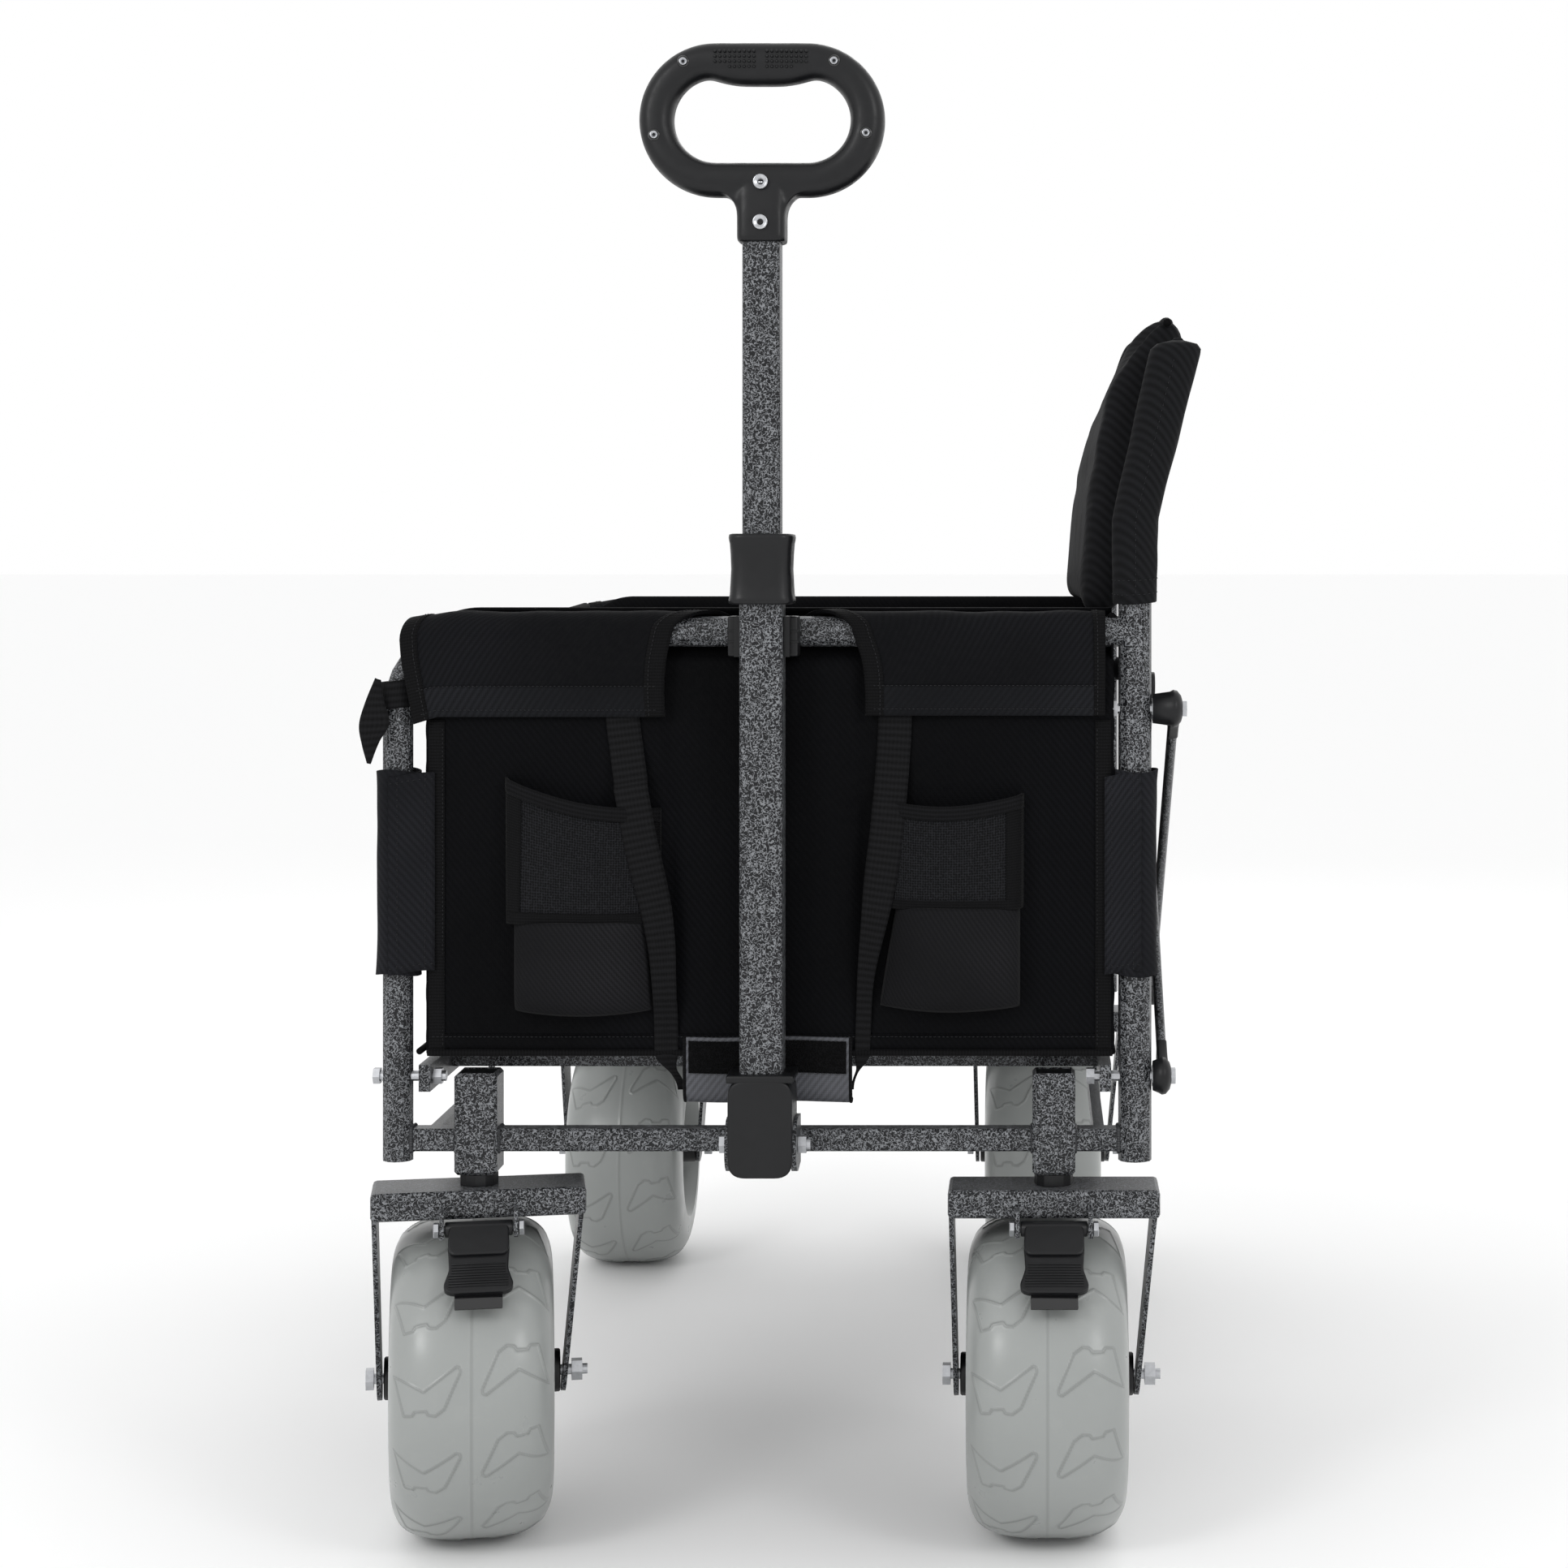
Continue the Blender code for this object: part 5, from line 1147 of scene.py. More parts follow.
def floor_pieces():
    """Felt-covered boards with piped edges, and the cloth turned in under the end walls."""
    for half in ("front", "rear"):
        body = "floor_" + half
        low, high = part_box("floor_board_" + half)

        def ring_inside(inset, z):
            """The board's outline with rounded corners, inset from its edges."""
            corners = [(low.x + inset, low.y + inset), (high.x - inset, low.y + inset),
                       (high.x - inset, high.y - inset), (low.x + inset, high.y - inset)]
            ring = [Vector((x, y, z)) for x, y in arc_corners(corners, 0.010, 5)]
            return ring + [ring[0]]

        rows = []
        for y in np.linspace(low.y, high.y, 60):
            row = []
            for x in np.linspace(low.x, high.x, 70):
                edge = min(x - low.x, high.x - x, y - low.y, high.y - y)
                puff = 0.0016 * smoothstep(edge, 0.0, 0.030)
                row.append(Vector((x, y, low.z + 0.0030 + puff + 0.0004 * lumps(x, y, 0.04, 1.5))))
            rows.append(row)
        board = cloth("floor_pad_" + half, rows, FELT, 0.0036)
        settle(board, body)
        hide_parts("floor_board_" + half)
        piping("floor_piping_" + half, ring_inside(0.002, low.z + 0.0030), 0.0021, body)
        stitches("floor_stitches_" + half, ring_inside(0.014, low.z + 0.0056), body, 0.005, 0.0032)
    for end, body, base in ((-1, "front", 0.0), (1, "rear", SPACING)):
        rows = []
        for y in np.linspace(-0.004, 0.046, 12):
            z = BASKET_BOTTOM + 0.0012 - 0.0035 * max(0.0, y - 0.03) / 0.016
            rows.append([at(u, base - end * y, z) for u in np.linspace(-0.246, 0.246, 60)])
        settle(cloth("floor_turning_" + body, rows, TWILL, 0.0014), body)


# ------------------------------------------------------------------ flaps over the top crossbars

FLAP_BACK = 0.630                 # height of a flap's edge inside the basket


def flap_height(u):
    """Height of a flap's axis over the crossbar; its stiff left end droops a little past the bend."""
    return BAR_HEIGHT - 0.0060 * (max(0.0, BEND_X - u) / 0.055) ** 2


def over_bar(name, front_left, front_right, back_left, back_right, body, base, facing, columns):
    """A flap hung over the crossbar, from inside the basket over the tube and down its front.

    front_left and front_right run down its front edges as (distance from the mid-plane, height); back_left
    and back_right are its edges' distances on the inside.
    """
    wrap = BAR_RADIUS + 0.0030
    left = curve_through([(u, 0, z) for u, z in front_left], 26)
    right = curve_through([(u, 0, z) for u, z in front_right], 26)
    profile = []
    for k in range(9):
        profile.append((back_left, back_right, "inside", k / 9))
    for k in range(15):
        share = smoothstep(k / 14, 0.15, 1.0)
        u_left = back_left + (left[0].x - back_left) * share
        u_right = back_right + (right[0].x - back_right) * share
        profile.append((u_left, u_right, "over", k / 14))
    for k in range(1, 26):
        profile.append((left[k].x, right[k].x, "front", k / 25))
    rows = []
    for u_left, u_right, part, run in profile:
        row = []
        for i in range(columns + 1):
            share = i / columns
            u = u_left + (u_right - u_left) * share
            axis = flap_height(u)
            if part == "inside":
                z = FLAP_BACK + (axis - FLAP_BACK) * run
                out = -(wrap + 0.0008 * lumps(u, z, 0.04, 4.0))
            elif part == "over":
                angle = math.pi * run
                lift = 0.0016 * math.sin(angle) * lumps(u, 0.0, 0.035, 2.0)
                z = axis + (wrap + lift) * math.sin(angle)
                out = -wrap * math.cos(angle)
            else:
                edge = max(0.0, 1 - share * columns / 6)
                low = right[25].z + (left[25].z - right[25].z) * edge
                z = axis + (low - axis) * run
                out = wrap + 0.0014 * math.sin(math.pi * run) + 0.0013 * lumps(u * 0.7, z, 0.045, 6.0) * run
            row.append(at(u, base + facing * out, z))
        rows.append(row)
    piece = cloth(name, rows, FLAP_TWILL, 0.0016)
    settle(piece, body)
    return piece, rows


def edge_tape(name, rows, column_from, column_to, body, facing):
    """A binding tape over some columns of a flap's front, with stitches along its inner side."""
    lift = 0.0013
    band = []
    line = []
    inner = column_to - 2 if column_from == 0 else column_from + 1
    for k in range(8, len(rows)):
        row = rows[k]
        along = (rows[min(k + 1, len(rows) - 1)][inner] - rows[k - 1][inner]).normalized()
        out = Vector((0.0, facing * abs(along.z), facing * along.y)).normalized()
        out.z = abs(out.z)
        band.append([p + out * lift for p in row[column_from:column_to]])
        line.append(row[inner] + out * (lift + 0.0007))
    settle(cloth(name, band, DARK_BINDING, 0.0009, slot="black_webbing"), body)
    stitches(name + "_stitches", line, body)


def hem_tape(name, rows, height, body, facing):
    """The doubled lower hem of a flap with two rows of stitching."""
    start = len(rows) - height
    band = [shifted(row, facing * 0.0010) for row in rows[start:]]
    settle(cloth(name, band, HEM_TWILL, 0.0009), body)
    for k, index in enumerate((start, len(rows) - 3)):
        stitches("%s_stitches_%d" % (name, k), shifted(rows[index][2:-2], facing * 0.0018), body)


LEFT_END = [(-0.2725, 0.680), (-0.2710, 0.660), (-0.2680, 0.644), (-0.2650, 0.629), (-0.2620, 0.6150)]
LEFT_INNER = [(-0.0690, 0.684), (-0.0735, 0.667), (-0.0750, 0.644), (-0.0745, 0.6205)]
RIGHT_INNER = [(0.0655, 0.684), (0.0726, 0.661), (0.0750, 0.643), (0.0750, 0.6215)]
RIGHT_END = [(0.2545, 0.684), (0.2545, 0.660), (0.2542, 0.6215)]


# Each flap: its two front edges, its inside edges, columns, flat width and the widths of its edge tapes
FLAPS = {"left": (LEFT_END, LEFT_INNER, -0.262, -0.026, 64, 0.215, (5, 6)),
         "right": (RIGHT_INNER, RIGHT_END, 0.026, 0.2545, 64, 0.200, (6, 4)),
         "rear": (LEFT_END, RIGHT_END, -0.262, 0.2545, 130, 0.520, (4, 4))}


def flaps():
    """Two flaps over the front crossbar, either side of the handle, and one over the whole rear one."""
    hung = []
    for label, (left, right, back_left, back_right, columns, width, ends) in FLAPS.items():
        body, base, facing = ("rear", SPACING, 1) if label == "rear" else ("front", 0.0, -1)
        flap, rows = over_bar("flap_" + label, left, right, back_left, back_right, body, base, facing,
                              columns)
        if body == "front":
            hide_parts("front_flap_" + label)
        hung.append((label, rows, body, facing, ends))
    for label, rows, body, facing, (first, last) in hung:
        hem_tape("flap_hem_" + label, rows, 10, body, facing)
        count = len(rows[0])
        edge_tape("flap_edge_" + label + "_a", rows, 0, first, body, facing)
        edge_tape("flap_edge_" + label + "_b", rows, count - last, count, body, facing)


# ------------------------------------------------------------------ pockets and webbing on the front wall

POCKETS = {"left": {"box": (-0.186, -0.084), "net": (-0.193, -0.078), "low": 0.402, "belly": 0.469,
                    "top": (0.572, 0.549), "strap": 1},
           "right": {"box": (0.0865, 0.190), "net": (0.084, 0.193), "low": 0.405, "belly": 0.480,
                     "top": (0.556, 0.560), "strap": -1}}
BOX_DEPTH = 0.026
NET_DEPTH = 0.013


def pocket_reach(side, u, z):
    """How far a pocket stands out of the wall at a place on it."""
    spec = POCKETS[side]
    left, right = spec["net"]
    share = (2 * (u - left) / (right - left) - 1) * spec["strap"]
    if abs(share) >= 1:
        return 0.0
    power = 2.2 if share > 0 else 6.0
    across = (1 - abs(share) ** power) ** (0.75 if share > 0 else 0.4)
    if z < spec["belly"]:
        drop = 1 - (z - spec["low"]) / (spec["belly"] - spec["low"])
        rise = (1 - min(1.0, max(0.0, drop)) ** 6) ** 0.35
        return BOX_DEPTH * rise * across
    fade = min(1.0, (z - spec["belly"]) / 0.085)
    return (BOX_DEPTH - 0.004 + (NET_DEPTH - BOX_DEPTH + 0.004) * smoothstep(fade, 0.0, 1.0)) * across


def pocket(side):
    """A bellied cloth box with a gathered net rising from it, its bound edges and elastic top."""
    spec = POCKETS[side]
    left, right = spec["box"]
    rows = []
    for k in range(29):
        share = k / 28
        z = spec["low"] + (spec["belly"] - spec["low"]) * share
        taper = 0.012 * share if side == "right" else 0.003 * share
        row = []
        for j in range(45):
            across = j / 44
            first, last = (left + taper, right) if side == "right" else (left, right - taper)
            u = first + (last - first) * across
            edge = abs(2 * across - 1)
            sink = (1 - edge ** 7) ** 0.4 if edge < 1 else 0.0
            drop = (1 - (1 - share) ** 6) ** 0.35
            reach = min(pocket_reach(side, u, z + 0.0004), BOX_DEPTH) * (0.25 + 0.75 * sink)
            reach = max(reach, BOX_DEPTH * 0.9 * sink * drop * (0.6 if edge > 0.9 else 0.0))
            wave = 0.0012 * lumps(u, z, 0.035, 9.0) * sink
            sag = -0.004 * math.sin(math.pi * across) * (1 - share)
            row.append(at(u, -(panel_face(u, z) + 0.0008 + reach + wave), z + sag))
        rows.append(row)
    bag = cloth("pocket_box_" + side, rows, CHARCOAL_BOX, 0.0018)
    settle(bag, "front")
    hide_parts("pocket_" + side)
    left, right = spec["net"]
    rows = []
    for k in range(33):
        share = k / 32
        row = []
        for j in range(45):
            across = j / 44
            u = left + (right - left) * across
            top = spec["top"][0] + (spec["top"][1] - spec["top"][0]) * across
            top -= 0.007 * math.sin(math.pi * across)
            z = spec["belly"] - 0.0015 + (top - spec["belly"]) * share
            pleat = 0.0016 * lumps(u * 1.6 + z * 0.7, z * 0.5, 0.022, 12.0) * math.sin(math.pi * share)
            reach = pocket_reach(side, u, max(z, spec["belly"] + 0.0001))
            row.append(at(u, -(panel_face(u, z) + 0.0010 + max(0.0, reach + pleat)), z))
        rows.append(row)
    net = cloth("pocket_net_" + side, rows, NET, 0.0012)
    settle(net, "front")
    for label, columns in (("a", slice(None, 6)), ("b", slice(-6, None))):
        band = [shifted(row[columns], -0.0010) for row in rows]
        settle(cloth("pocket_side_%s_%s" % (side, label), band, NET_HEM, 0.0012), "front")
    band = [shifted(row, -0.0012) for row in rows[:4]]
    settle(cloth("pocket_seam_" + side, band, NET_HEM, 0.0010), "front")
    band = [shifted(rows[-1], -0.0014 - 0.0006 * math.sin(math.pi * k / 5), 0.0105 * k / 5 - 0.0055)
            for k in range(6)]
    settle(cloth("pocket_binding_" + side, band, ELASTIC, 0.0018), "front")


# Centre lines of the two straps: (distance from the mid-plane, height), down the front wall
STRAPS = {"left": [(-0.1075, 0.632), (-0.1040, 0.600), (-0.0930, 0.535), (-0.0785, 0.469), (-0.0745, 0.420),
                   (-0.0740, 0.369)],
          "right": [(0.0975, 0.632), (0.0965, 0.600), (0.0915, 0.535), (0.0840, 0.480), (0.0755, 0.425),
                    (0.0725, 0.369)]}
STRAP_WIDTH = 0.025


def strap_reach(side, u, z):
    """How far a pocket lifts a strap off the wall at a place of its centre line."""
    if not POCKETS[side]["low"] < z < max(POCKETS[side]["top"]):
        return 0.0
    return max(0.0, *(pocket_reach(side, u + share * STRAP_WIDTH, z) for share in (-0.5, 0.0, 0.5)))


def webbing(side):
    """A woven strap down the front wall, turned under the basket's bottom edge."""
    path = [(p.x, p.z) for p in curve_through([(u, 0, z) for u, z in STRAPS[side]], 60)]
    narrowest = 0.70 if side == "left" else 0.46
    rows = []
    lifts = [strap_reach(side, u, z) for u, z in path]
    smooth = [sum(lifts[max(0, i - 5):i + 6]) / len(lifts[max(0, i - 5):i + 6]) for i in range(len(lifts))]
    smooth = [max(a, b) for a, b in zip(smooth, lifts)]
    for i, (u, z) in enumerate(path):
        ahead = Vector(path[min(i + 1, len(path) - 1)])
        behind = Vector(path[max(i - 1, 0)])
        along = (ahead - behind).normalized()
        across = Vector((-along.y, along.x))
        if across.x < 0:
            across = -across
        row = []
        twisted = STRAP_WIDTH * (narrowest + (1 - narrowest) * smoothstep(z, 0.405, 0.515))
        for j in range(9):
            share = j / 4 - 1
            pu = u + across.x * twisted / 2 * share
            pz = z + across.y * twisted / 2 * share
            out = panel_face(pu, pz) + 0.0013 + smooth[i] + 0.0006 * (1 - share * share)
            row.append(at(pu, -out, pz))
        rows.append(row)
    last = rows[-1]
    centre = sum(last, Vector()) / len(last)
    inward = 1.0 if side == "left" else -1.0
    width_left = 0.30 if side == "left" else 0.16
    for k in range(1, 15):
        share = k / 14
        narrow = 1 + (width_left - 1) * smoothstep(share, 0.0, 0.55)
        shift = Vector((inward * 0.0085 * smoothstep(share, 0.0, 1.0), 0.022 * smoothstep(share, 0.1, 1.0),
                        -0.0315 * share))
        rows.append([centre + (p - centre) * narrow + shift for p in last])
    strap = cloth("strap_" + side, rows, WEBBING, 0.0014)
    settle(strap, "front")
    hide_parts("webbing_" + side)


# ------------------------------------------------------------------ sleeves, loops and the bottom flap

def post_sleeve(side, sign):
    """A wrap of stitched cloth round a front post, with a tab to the wall's edge."""
    low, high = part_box("post_wrap_" + side)
    post = at(sign * HALF_SPREAD, 0.0, 0.0)
    radius = BAR_RADIUS if sign < 0 else POST_RADIUS
    rows = []
    for k in range(41):
        share = k / 40
        z = low.z - 0.001 + (high.z - low.z + 0.003) * share
        flare = 0.0012 * (abs(2 * share - 1) ** 6)
        row = []
        for j in range(40):
            angle = 2 * math.pi * j / 40
            r = radius + 0.0030 + flare + 0.0007 * lumps(angle * 0.03, z, 0.03, 3.0 + sign)
            toward = max(0.0, -sign * math.cos(angle)) ** 3
            row.append(Vector((post.x + math.cos(angle) * (r + 0.0012 * toward),
                               post.y + math.sin(angle) * r, z + 0.0012 * math.sin(angle * 2 + sign))))
        rows.append(row)
    sleeve = cloth("post_sleeve_" + side, rows, WRAP_TWILL, 0.0015, wrap=True)
    settle(sleeve, "front")
    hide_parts("post_wrap_" + side)
    tab = []
    inner = PANEL_LEFT + 0.006 if sign < 0 else PANEL_RIGHT - 0.006
    start = sign * (HALF_SPREAD + 0.004)
    for k in range(31):
        z = low.z + 0.001 + (high.z - low.z - 0.002) * k / 30
        row = []
        for j in range(11):
            share = j / 10
            u = start + (inner - start) * share
            y = -(radius + 0.0052) * (1 - share) - (panel_face(inner, z) + 0.0022) * share
            row.append(at(u, y + 0.0008 * lumps(u, z, 0.025, 1.0), z + 0.0020 * math.sin(share * 3 + sign)))
        tab.append(row)
    settle(cloth("post_tab_" + side, tab, WRAP_TWILL, 0.0015), "front")
    lines = {"stitches_%s_0": [row[2] for row in tab], "stitches_%s_1": [row[8] for row in tab],
             "cross_%s_0": tab[1], "cross_%s_1": tab[-2]}
    for label, line in lines.items():
        stitches("post_tab_" + label % side, shifted(line, -0.0010), "front", 0.0040)


# The hanging tail's two edges: (distance from the mid-plane, distance behind the front frame, height)
TAIL_LEFT = [(-0.2905, -0.0150, 0.6495), (-0.2975, -0.0165, 0.6320), (-0.3022, -0.0170, 0.6150),
             (-0.3002, -0.0165, 0.6000), (-0.2965, -0.0150, 0.5860)]
TAIL_RIGHT = [(-0.2868, -0.0145, 0.6480), (-0.2835, -0.0175, 0.6320), (-0.2795, -0.0185, 0.6160),
              (-0.2870, -0.0180, 0.6020), (-0.2940, -0.0160, 0.5855)]


def loop_strap():
    """The strap looped round the left post below the bend, with its free end hanging."""
    centre = at(-HALF_SPREAD, 0.0, 0.637)
    radius = BAR_RADIUS + 0.0022
    rows = []
    for k in range(9):
        z = 0.6265 + 0.0210 * k / 8
        lean = 0.10 * (z - centre.z)
        rows.append([Vector((centre.x + radius * c + lean, centre.y + radius * s, z + 0.0016 * c))
                     for c, s in turns(32)])
    settle(cloth("loop_strap", rows, WEBBING, 0.0016, wrap=True), "front")
    left = curve_through([at(*place) for place in TAIL_LEFT], 30)
    right = curve_through([at(*place) for place in TAIL_RIGHT], 30)
    rows = []
    for a, b in zip(left, right):
        rows.append([a + (b - a) * j / 8 + Vector((0.0, -0.0008 * math.sin(math.pi * j / 8), 0.0))
                     for j in range(9)])
    tail = cloth("loop_strap_tail", rows, WEBBING, 0.0014)
    settle(tail, "front")


def bottom_flap():
    """The closing flap that hangs below the basket's edge in front of the cross tube."""
    low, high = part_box("bottom_flap")
    rows = []
    left, right = low.x - MID, high.x - MID
    path = curve_through([(0, -0.0125, BASKET_BOTTOM + 0.0130), (0, -0.0132, BASKET_BOTTOM - 0.004),
                          (0, -0.0128, 0.350), (0, -0.0118, 0.338), (0, -0.0070, 0.3325),
                          (0, -0.0010, 0.3335)], 34)
    for point in path:
        row = []
        for j in range(41):
            u = left + (right - left) * j / 40
            ripple = 0.0012 * lumps(u, point.z, 0.035, 2.2)
            row.append(at(u, point.y - ripple, point.z + 0.0010 * lumps(u, 0.0, 0.05, 6.1)))
        rows.append(row)
    flap = cloth("bottom_flap_cloth", rows, CHARCOAL, 0.0018)
    settle(flap, "front")
    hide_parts("bottom_flap")
    strip = [shifted(row[1:-1], -0.0016) for row in rows[1:12]]
    settle(cloth("bottom_flap_hooks", strip, HOOKS, 0.0012), "front")
    for k, index in enumerate((1, 11)):
        stitches("bottom_flap_stitches_%d" % k, shifted(rows[index][2:-2], -0.0024), "front")
    for k, column in enumerate((0, 40)):
        edge = shifted([row[column] for row in rows], -0.0002)
        piping("bottom_flap_edge_%d" % k, edge, 0.0014, "front", up=(0.0, 1.0, 0.0))


# ------------------------------------------------------------------ backrest

def lean_u(z):
    """Distance from the mid-plane of a backrest post's centre at a height."""
    return HALF_SPREAD + max(0.0, z - LEAN_START) * math.tan(LEAN)


# Outline of the pad seen from the front: (distance out from the post's foot, height)
BACKREST_SECTION = [(-0.038, 0.697), (-0.022, 0.696), (-0.013, 0.698), (-0.003, 0.740), (0.004, 0.768),
                    (0.020, 0.840), (0.032, 0.895), (0.036, 0.916), (0.030, 0.924), (0.020, 0.920),
                    (0.006, 0.905), (-0.014, 0.866), (-0.024, 0.825), (-0.029, 0.790), (-0.033, 0.745)]


SWELL_CAP = 0.006                 # how far the cloth may swell out of the pad's first shape
PAD_SEAM = 0.812                  # height of the quilting line


def backrest_pad():
    """The padded panel between the backrest posts, blown up as cloth from a slightly smaller shape."""
    low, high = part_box("backrest_panel")
    start, end = low.y + 0.0005, high.y - 0.0005
    bm = bmesh.new()
    rings = []
    for y in (start, end):
        rings.append([bm.verts.new((MID + HALF_SPREAD + u, y, z)) for u, z in BACKREST_SECTION])
    count = len(BACKREST_SECTION)
    for i in range(count):
        j = (i + 1) % count
        bm.faces.new((rings[0][i], rings[0][j], rings[1][j], rings[1][i]))
    bm.faces.new(rings[0])
    bm.faces.new(rings[1])
    pad = add("backrest_pad", solid_mesh("backrest_pad", bm), PAD_TWILL)
    melt = pad.modifiers.new("melt", "REMESH")
    melt.mode = "VOXEL"
    melt.voxel_size = 0.006
    applied(pad)
    before = np.array([v.co for v in pad.data.vertices])
    blown = pad.modifiers.new("fill", "CLOTH")
    settings = blown.settings
    settings.use_pressure = True
    settings.uniform_pressure_force = 4.0
    settings.effector_weights.gravity = 0.0
    settings.tension_stiffness = 12.0
    settings.bending_stiffness = 0.6
    scene = bpy.context.scene
    for step in range(1, 21):
        scene.frame_set(step)
    after = bpy.data.meshes.new_from_object(pad.evaluated_get(bpy.context.evaluated_depsgraph_get()))
    moved = np.array([v.co for v in after.vertices]) - before
    pad.modifiers.clear()
    scene.frame_set(1)
    length = np.linalg.norm(moved, axis=1, keepdims=True)
    before = before + moved * np.minimum(1.0, SWELL_CAP / np.maximum(length, 1e-9))
    for i, vertex in enumerate(pad.data.vertices):
        p = before[i].copy()
        near = math.exp(-((p[2] - PAD_SEAM) / 0.007) ** 2)
        centre_u = MID + lean_u(p[2]) - 0.008
        p[0] += (centre_u - p[0]) * 0.04 * near
        p[0] += lumps(p[1], p[2], 0.055, 2.4) * 0.0018
        top = smoothstep(p[2], 0.872, 0.918)
        p[2] += top * 0.0060 * math.sin(p[1] * 2 * math.pi / 0.034 + 1.4 * math.sin(p[1] * 31.0))
        p[0] += top * 0.0050 * math.sin(p[1] * 2 * math.pi / 0.047)
        vertex.co = p
    soften = pad.modifiers.new("soften", "SMOOTH")
    soften.factor = 0.5
    soften.iterations = 2
    fine = pad.modifiers.new("fine", "SUBSURF")
    fine.levels = 1
    fine.render_levels = 1
    applied(pad)
    pad.data.shade_smooth()
    settle(pad, "front", True)
    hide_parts("backrest_panel")
    places = np.array([v.co for v in pad.data.vertices])
    edge = []
    for y in np.linspace(start + 0.003, end - 0.003, 170):
        near = places[np.abs(places[:, 1] - y) < 0.005]
        crest = near[near[:, 2].argmax()]
        edge.append(Vector((crest[0], y, crest[2] + 0.0005)))
    for _ in range(2):
        edge = [edge[0]] + [(a + b + c) / 3 for a, b, c in zip(edge, edge[1:], edge[2:])] + [edge[-1]]
    piping("backrest_gathering", edge, 0.0032, "front", True)


def backrest_sleeve(label, base, facing, body):
    """The sleeve that slips over a backrest post and closes at its top."""
    rows = []
    for k in range(57):
        share = k / 56
        z = 0.706 + (0.903 - 0.706) * share
        centre = lean_u(z)
        close = max(0.0, (share - 0.955) / 0.045)
        shrink = math.sqrt(max(0.0, 1 - close ** 2)) if close < 1 else 0.0
        shrink = max(shrink, 0.05)
        row = []
        for j in range(36):
            angle = 2 * math.pi * j / 36
            c, s = math.cos(angle), math.sin(angle)
            wide = POST_RADIUS + 0.0032 + 0.0030 * share + 0.0008 * lumps(angle * 0.05, z, 0.03, 2.0)
            inward = -facing * s
            deep = POST_RADIUS + 0.0032 + (0.0120 if inward > 0 else 0.0)
            row.append(at(centre + c * wide * shrink, base + s * deep * shrink,
                          z + 0.0015 * math.sin(angle + 0.5) * (1 - share)))
        rows.append(row)
    sleeve = cloth("backrest_sleeve_" + label, rows, PAD_TWILL, 0.0016, wrap=True)
    settle(sleeve, body)
    cap_row = rows[-1]
    add("backrest_sleeve_top_" + label,
        lathe("top", [(0.0, -0.002), (0.004, -0.002), (0.0045, 0.0), (0.003, 0.0016), (0.0, 0.002)], 16,
              sum(cap_row, Vector()) / len(cap_row), (0.0, 0.0, 1.0)), PAD_TWILL, body)
    for k, row in enumerate((rows[2], rows[5])):
        line = [p + (p - sum(row, Vector()) / len(row)).normalized() * 0.0011 for p in row]
        stitches("backrest_sleeve_stitches_%s_%d" % (label, k), line + [line[0]], body, 0.0042)
    seam = [row[27 if facing < 0 else 9] + Vector((0.0, facing * 0.0011, 0.0)) for row in rows[2:-4]]
    stitches("backrest_sleeve_seam_" + label, seam, body, 0.0042)


# ------------------------------------------------------------------ side bars and small hard trim

# An outline's X runs along a bar, its Y across the bar and its thickness through the bar
BAR_LIE = Matrix(((0.0, 0.0, 1.0, 0.0), (1.0, 0.0, 0.0, 0.0), (0.0, 1.0, 0.0, 0.0), (0.0, 0.0, 0.0, 1.0)))


def side_bars():
    """Oval bars with moulded round ends, in the planes of the CAD bars."""
    radius = 0.012
    for label in ("falling_front", "rising_front", "falling_rear", "rising_rear"):
        course, end_name = label.split("_")
        direction = 1 if end_name == "front" else -1
        climb = -1 if course == "falling" else 1
        node = "side_bar_" + label
        body = "bar_" + label
        low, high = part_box(node)
        pivot = Vector(JOINTS["%s_bar_%s_pivot" % (course, end_name)]["pos_m"])
        plane = (low.x + high.x) / 2
        start = Vector((plane, pivot.y, pivot.z))
        end_z = low.z + radius if climb < 0 else high.z - radius
        end = Vector((plane, high.y - radius if direction > 0 else low.y + radius, end_z))
        along = (end - start).normalized()
        length = (end - start).length
        over = Vector((1.0, 0.0, 0.0)).cross(along)
        space = Matrix(((1.0, along.x, over.x, start.x), (0.0, along.y, over.y, start.y),
                        (0.0, along.z, over.z, start.z), (0.0, 0.0, 0.0, 1.0)))
        rings = []
        for y in (0.020, length - 0.020):
            rings.append([space @ Vector((0.0037 * rounded(c, 0.7), y, 0.0082 * rounded(s, 0.8)))
                          for c, s in turns(28)])
        bar = add("bar_tube_" + label, tube("bar", rings), COAT, body)
        bar.data.set_sharp_from_angle(angle=math.radians(60))
        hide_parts(node)
        for k, (y, flip) in enumerate(((0.0, 0.0), (length, math.pi))):
            outline = []
            for i in range(17):
                angle = math.pi / 2 + math.pi * i / 16
                outline.append((radius * math.cos(angle), radius * math.sin(angle)))
            outline += [(0.006, -0.0115), (0.016, -0.0092), (0.030, -0.0088), (0.030, 0.0088),
                        (0.016, 0.0092), (0.006, 0.0115)]
            place = space @ Matrix.Translation((0.0, y, 0.0)) @ Matrix.Rotation(flip, 4, "X") @ BAR_LIE
            slab = outline_slab("end", outline, 0.0078, place, 0.0016, 3)
            if k == 0:
                knob(label, plane, start, climb, body)
            piece = add("bar_end_%s_%d" % (label, k), slab, PLASTIC, body)
            piece.data.set_sharp_from_angle(angle=math.radians(50))


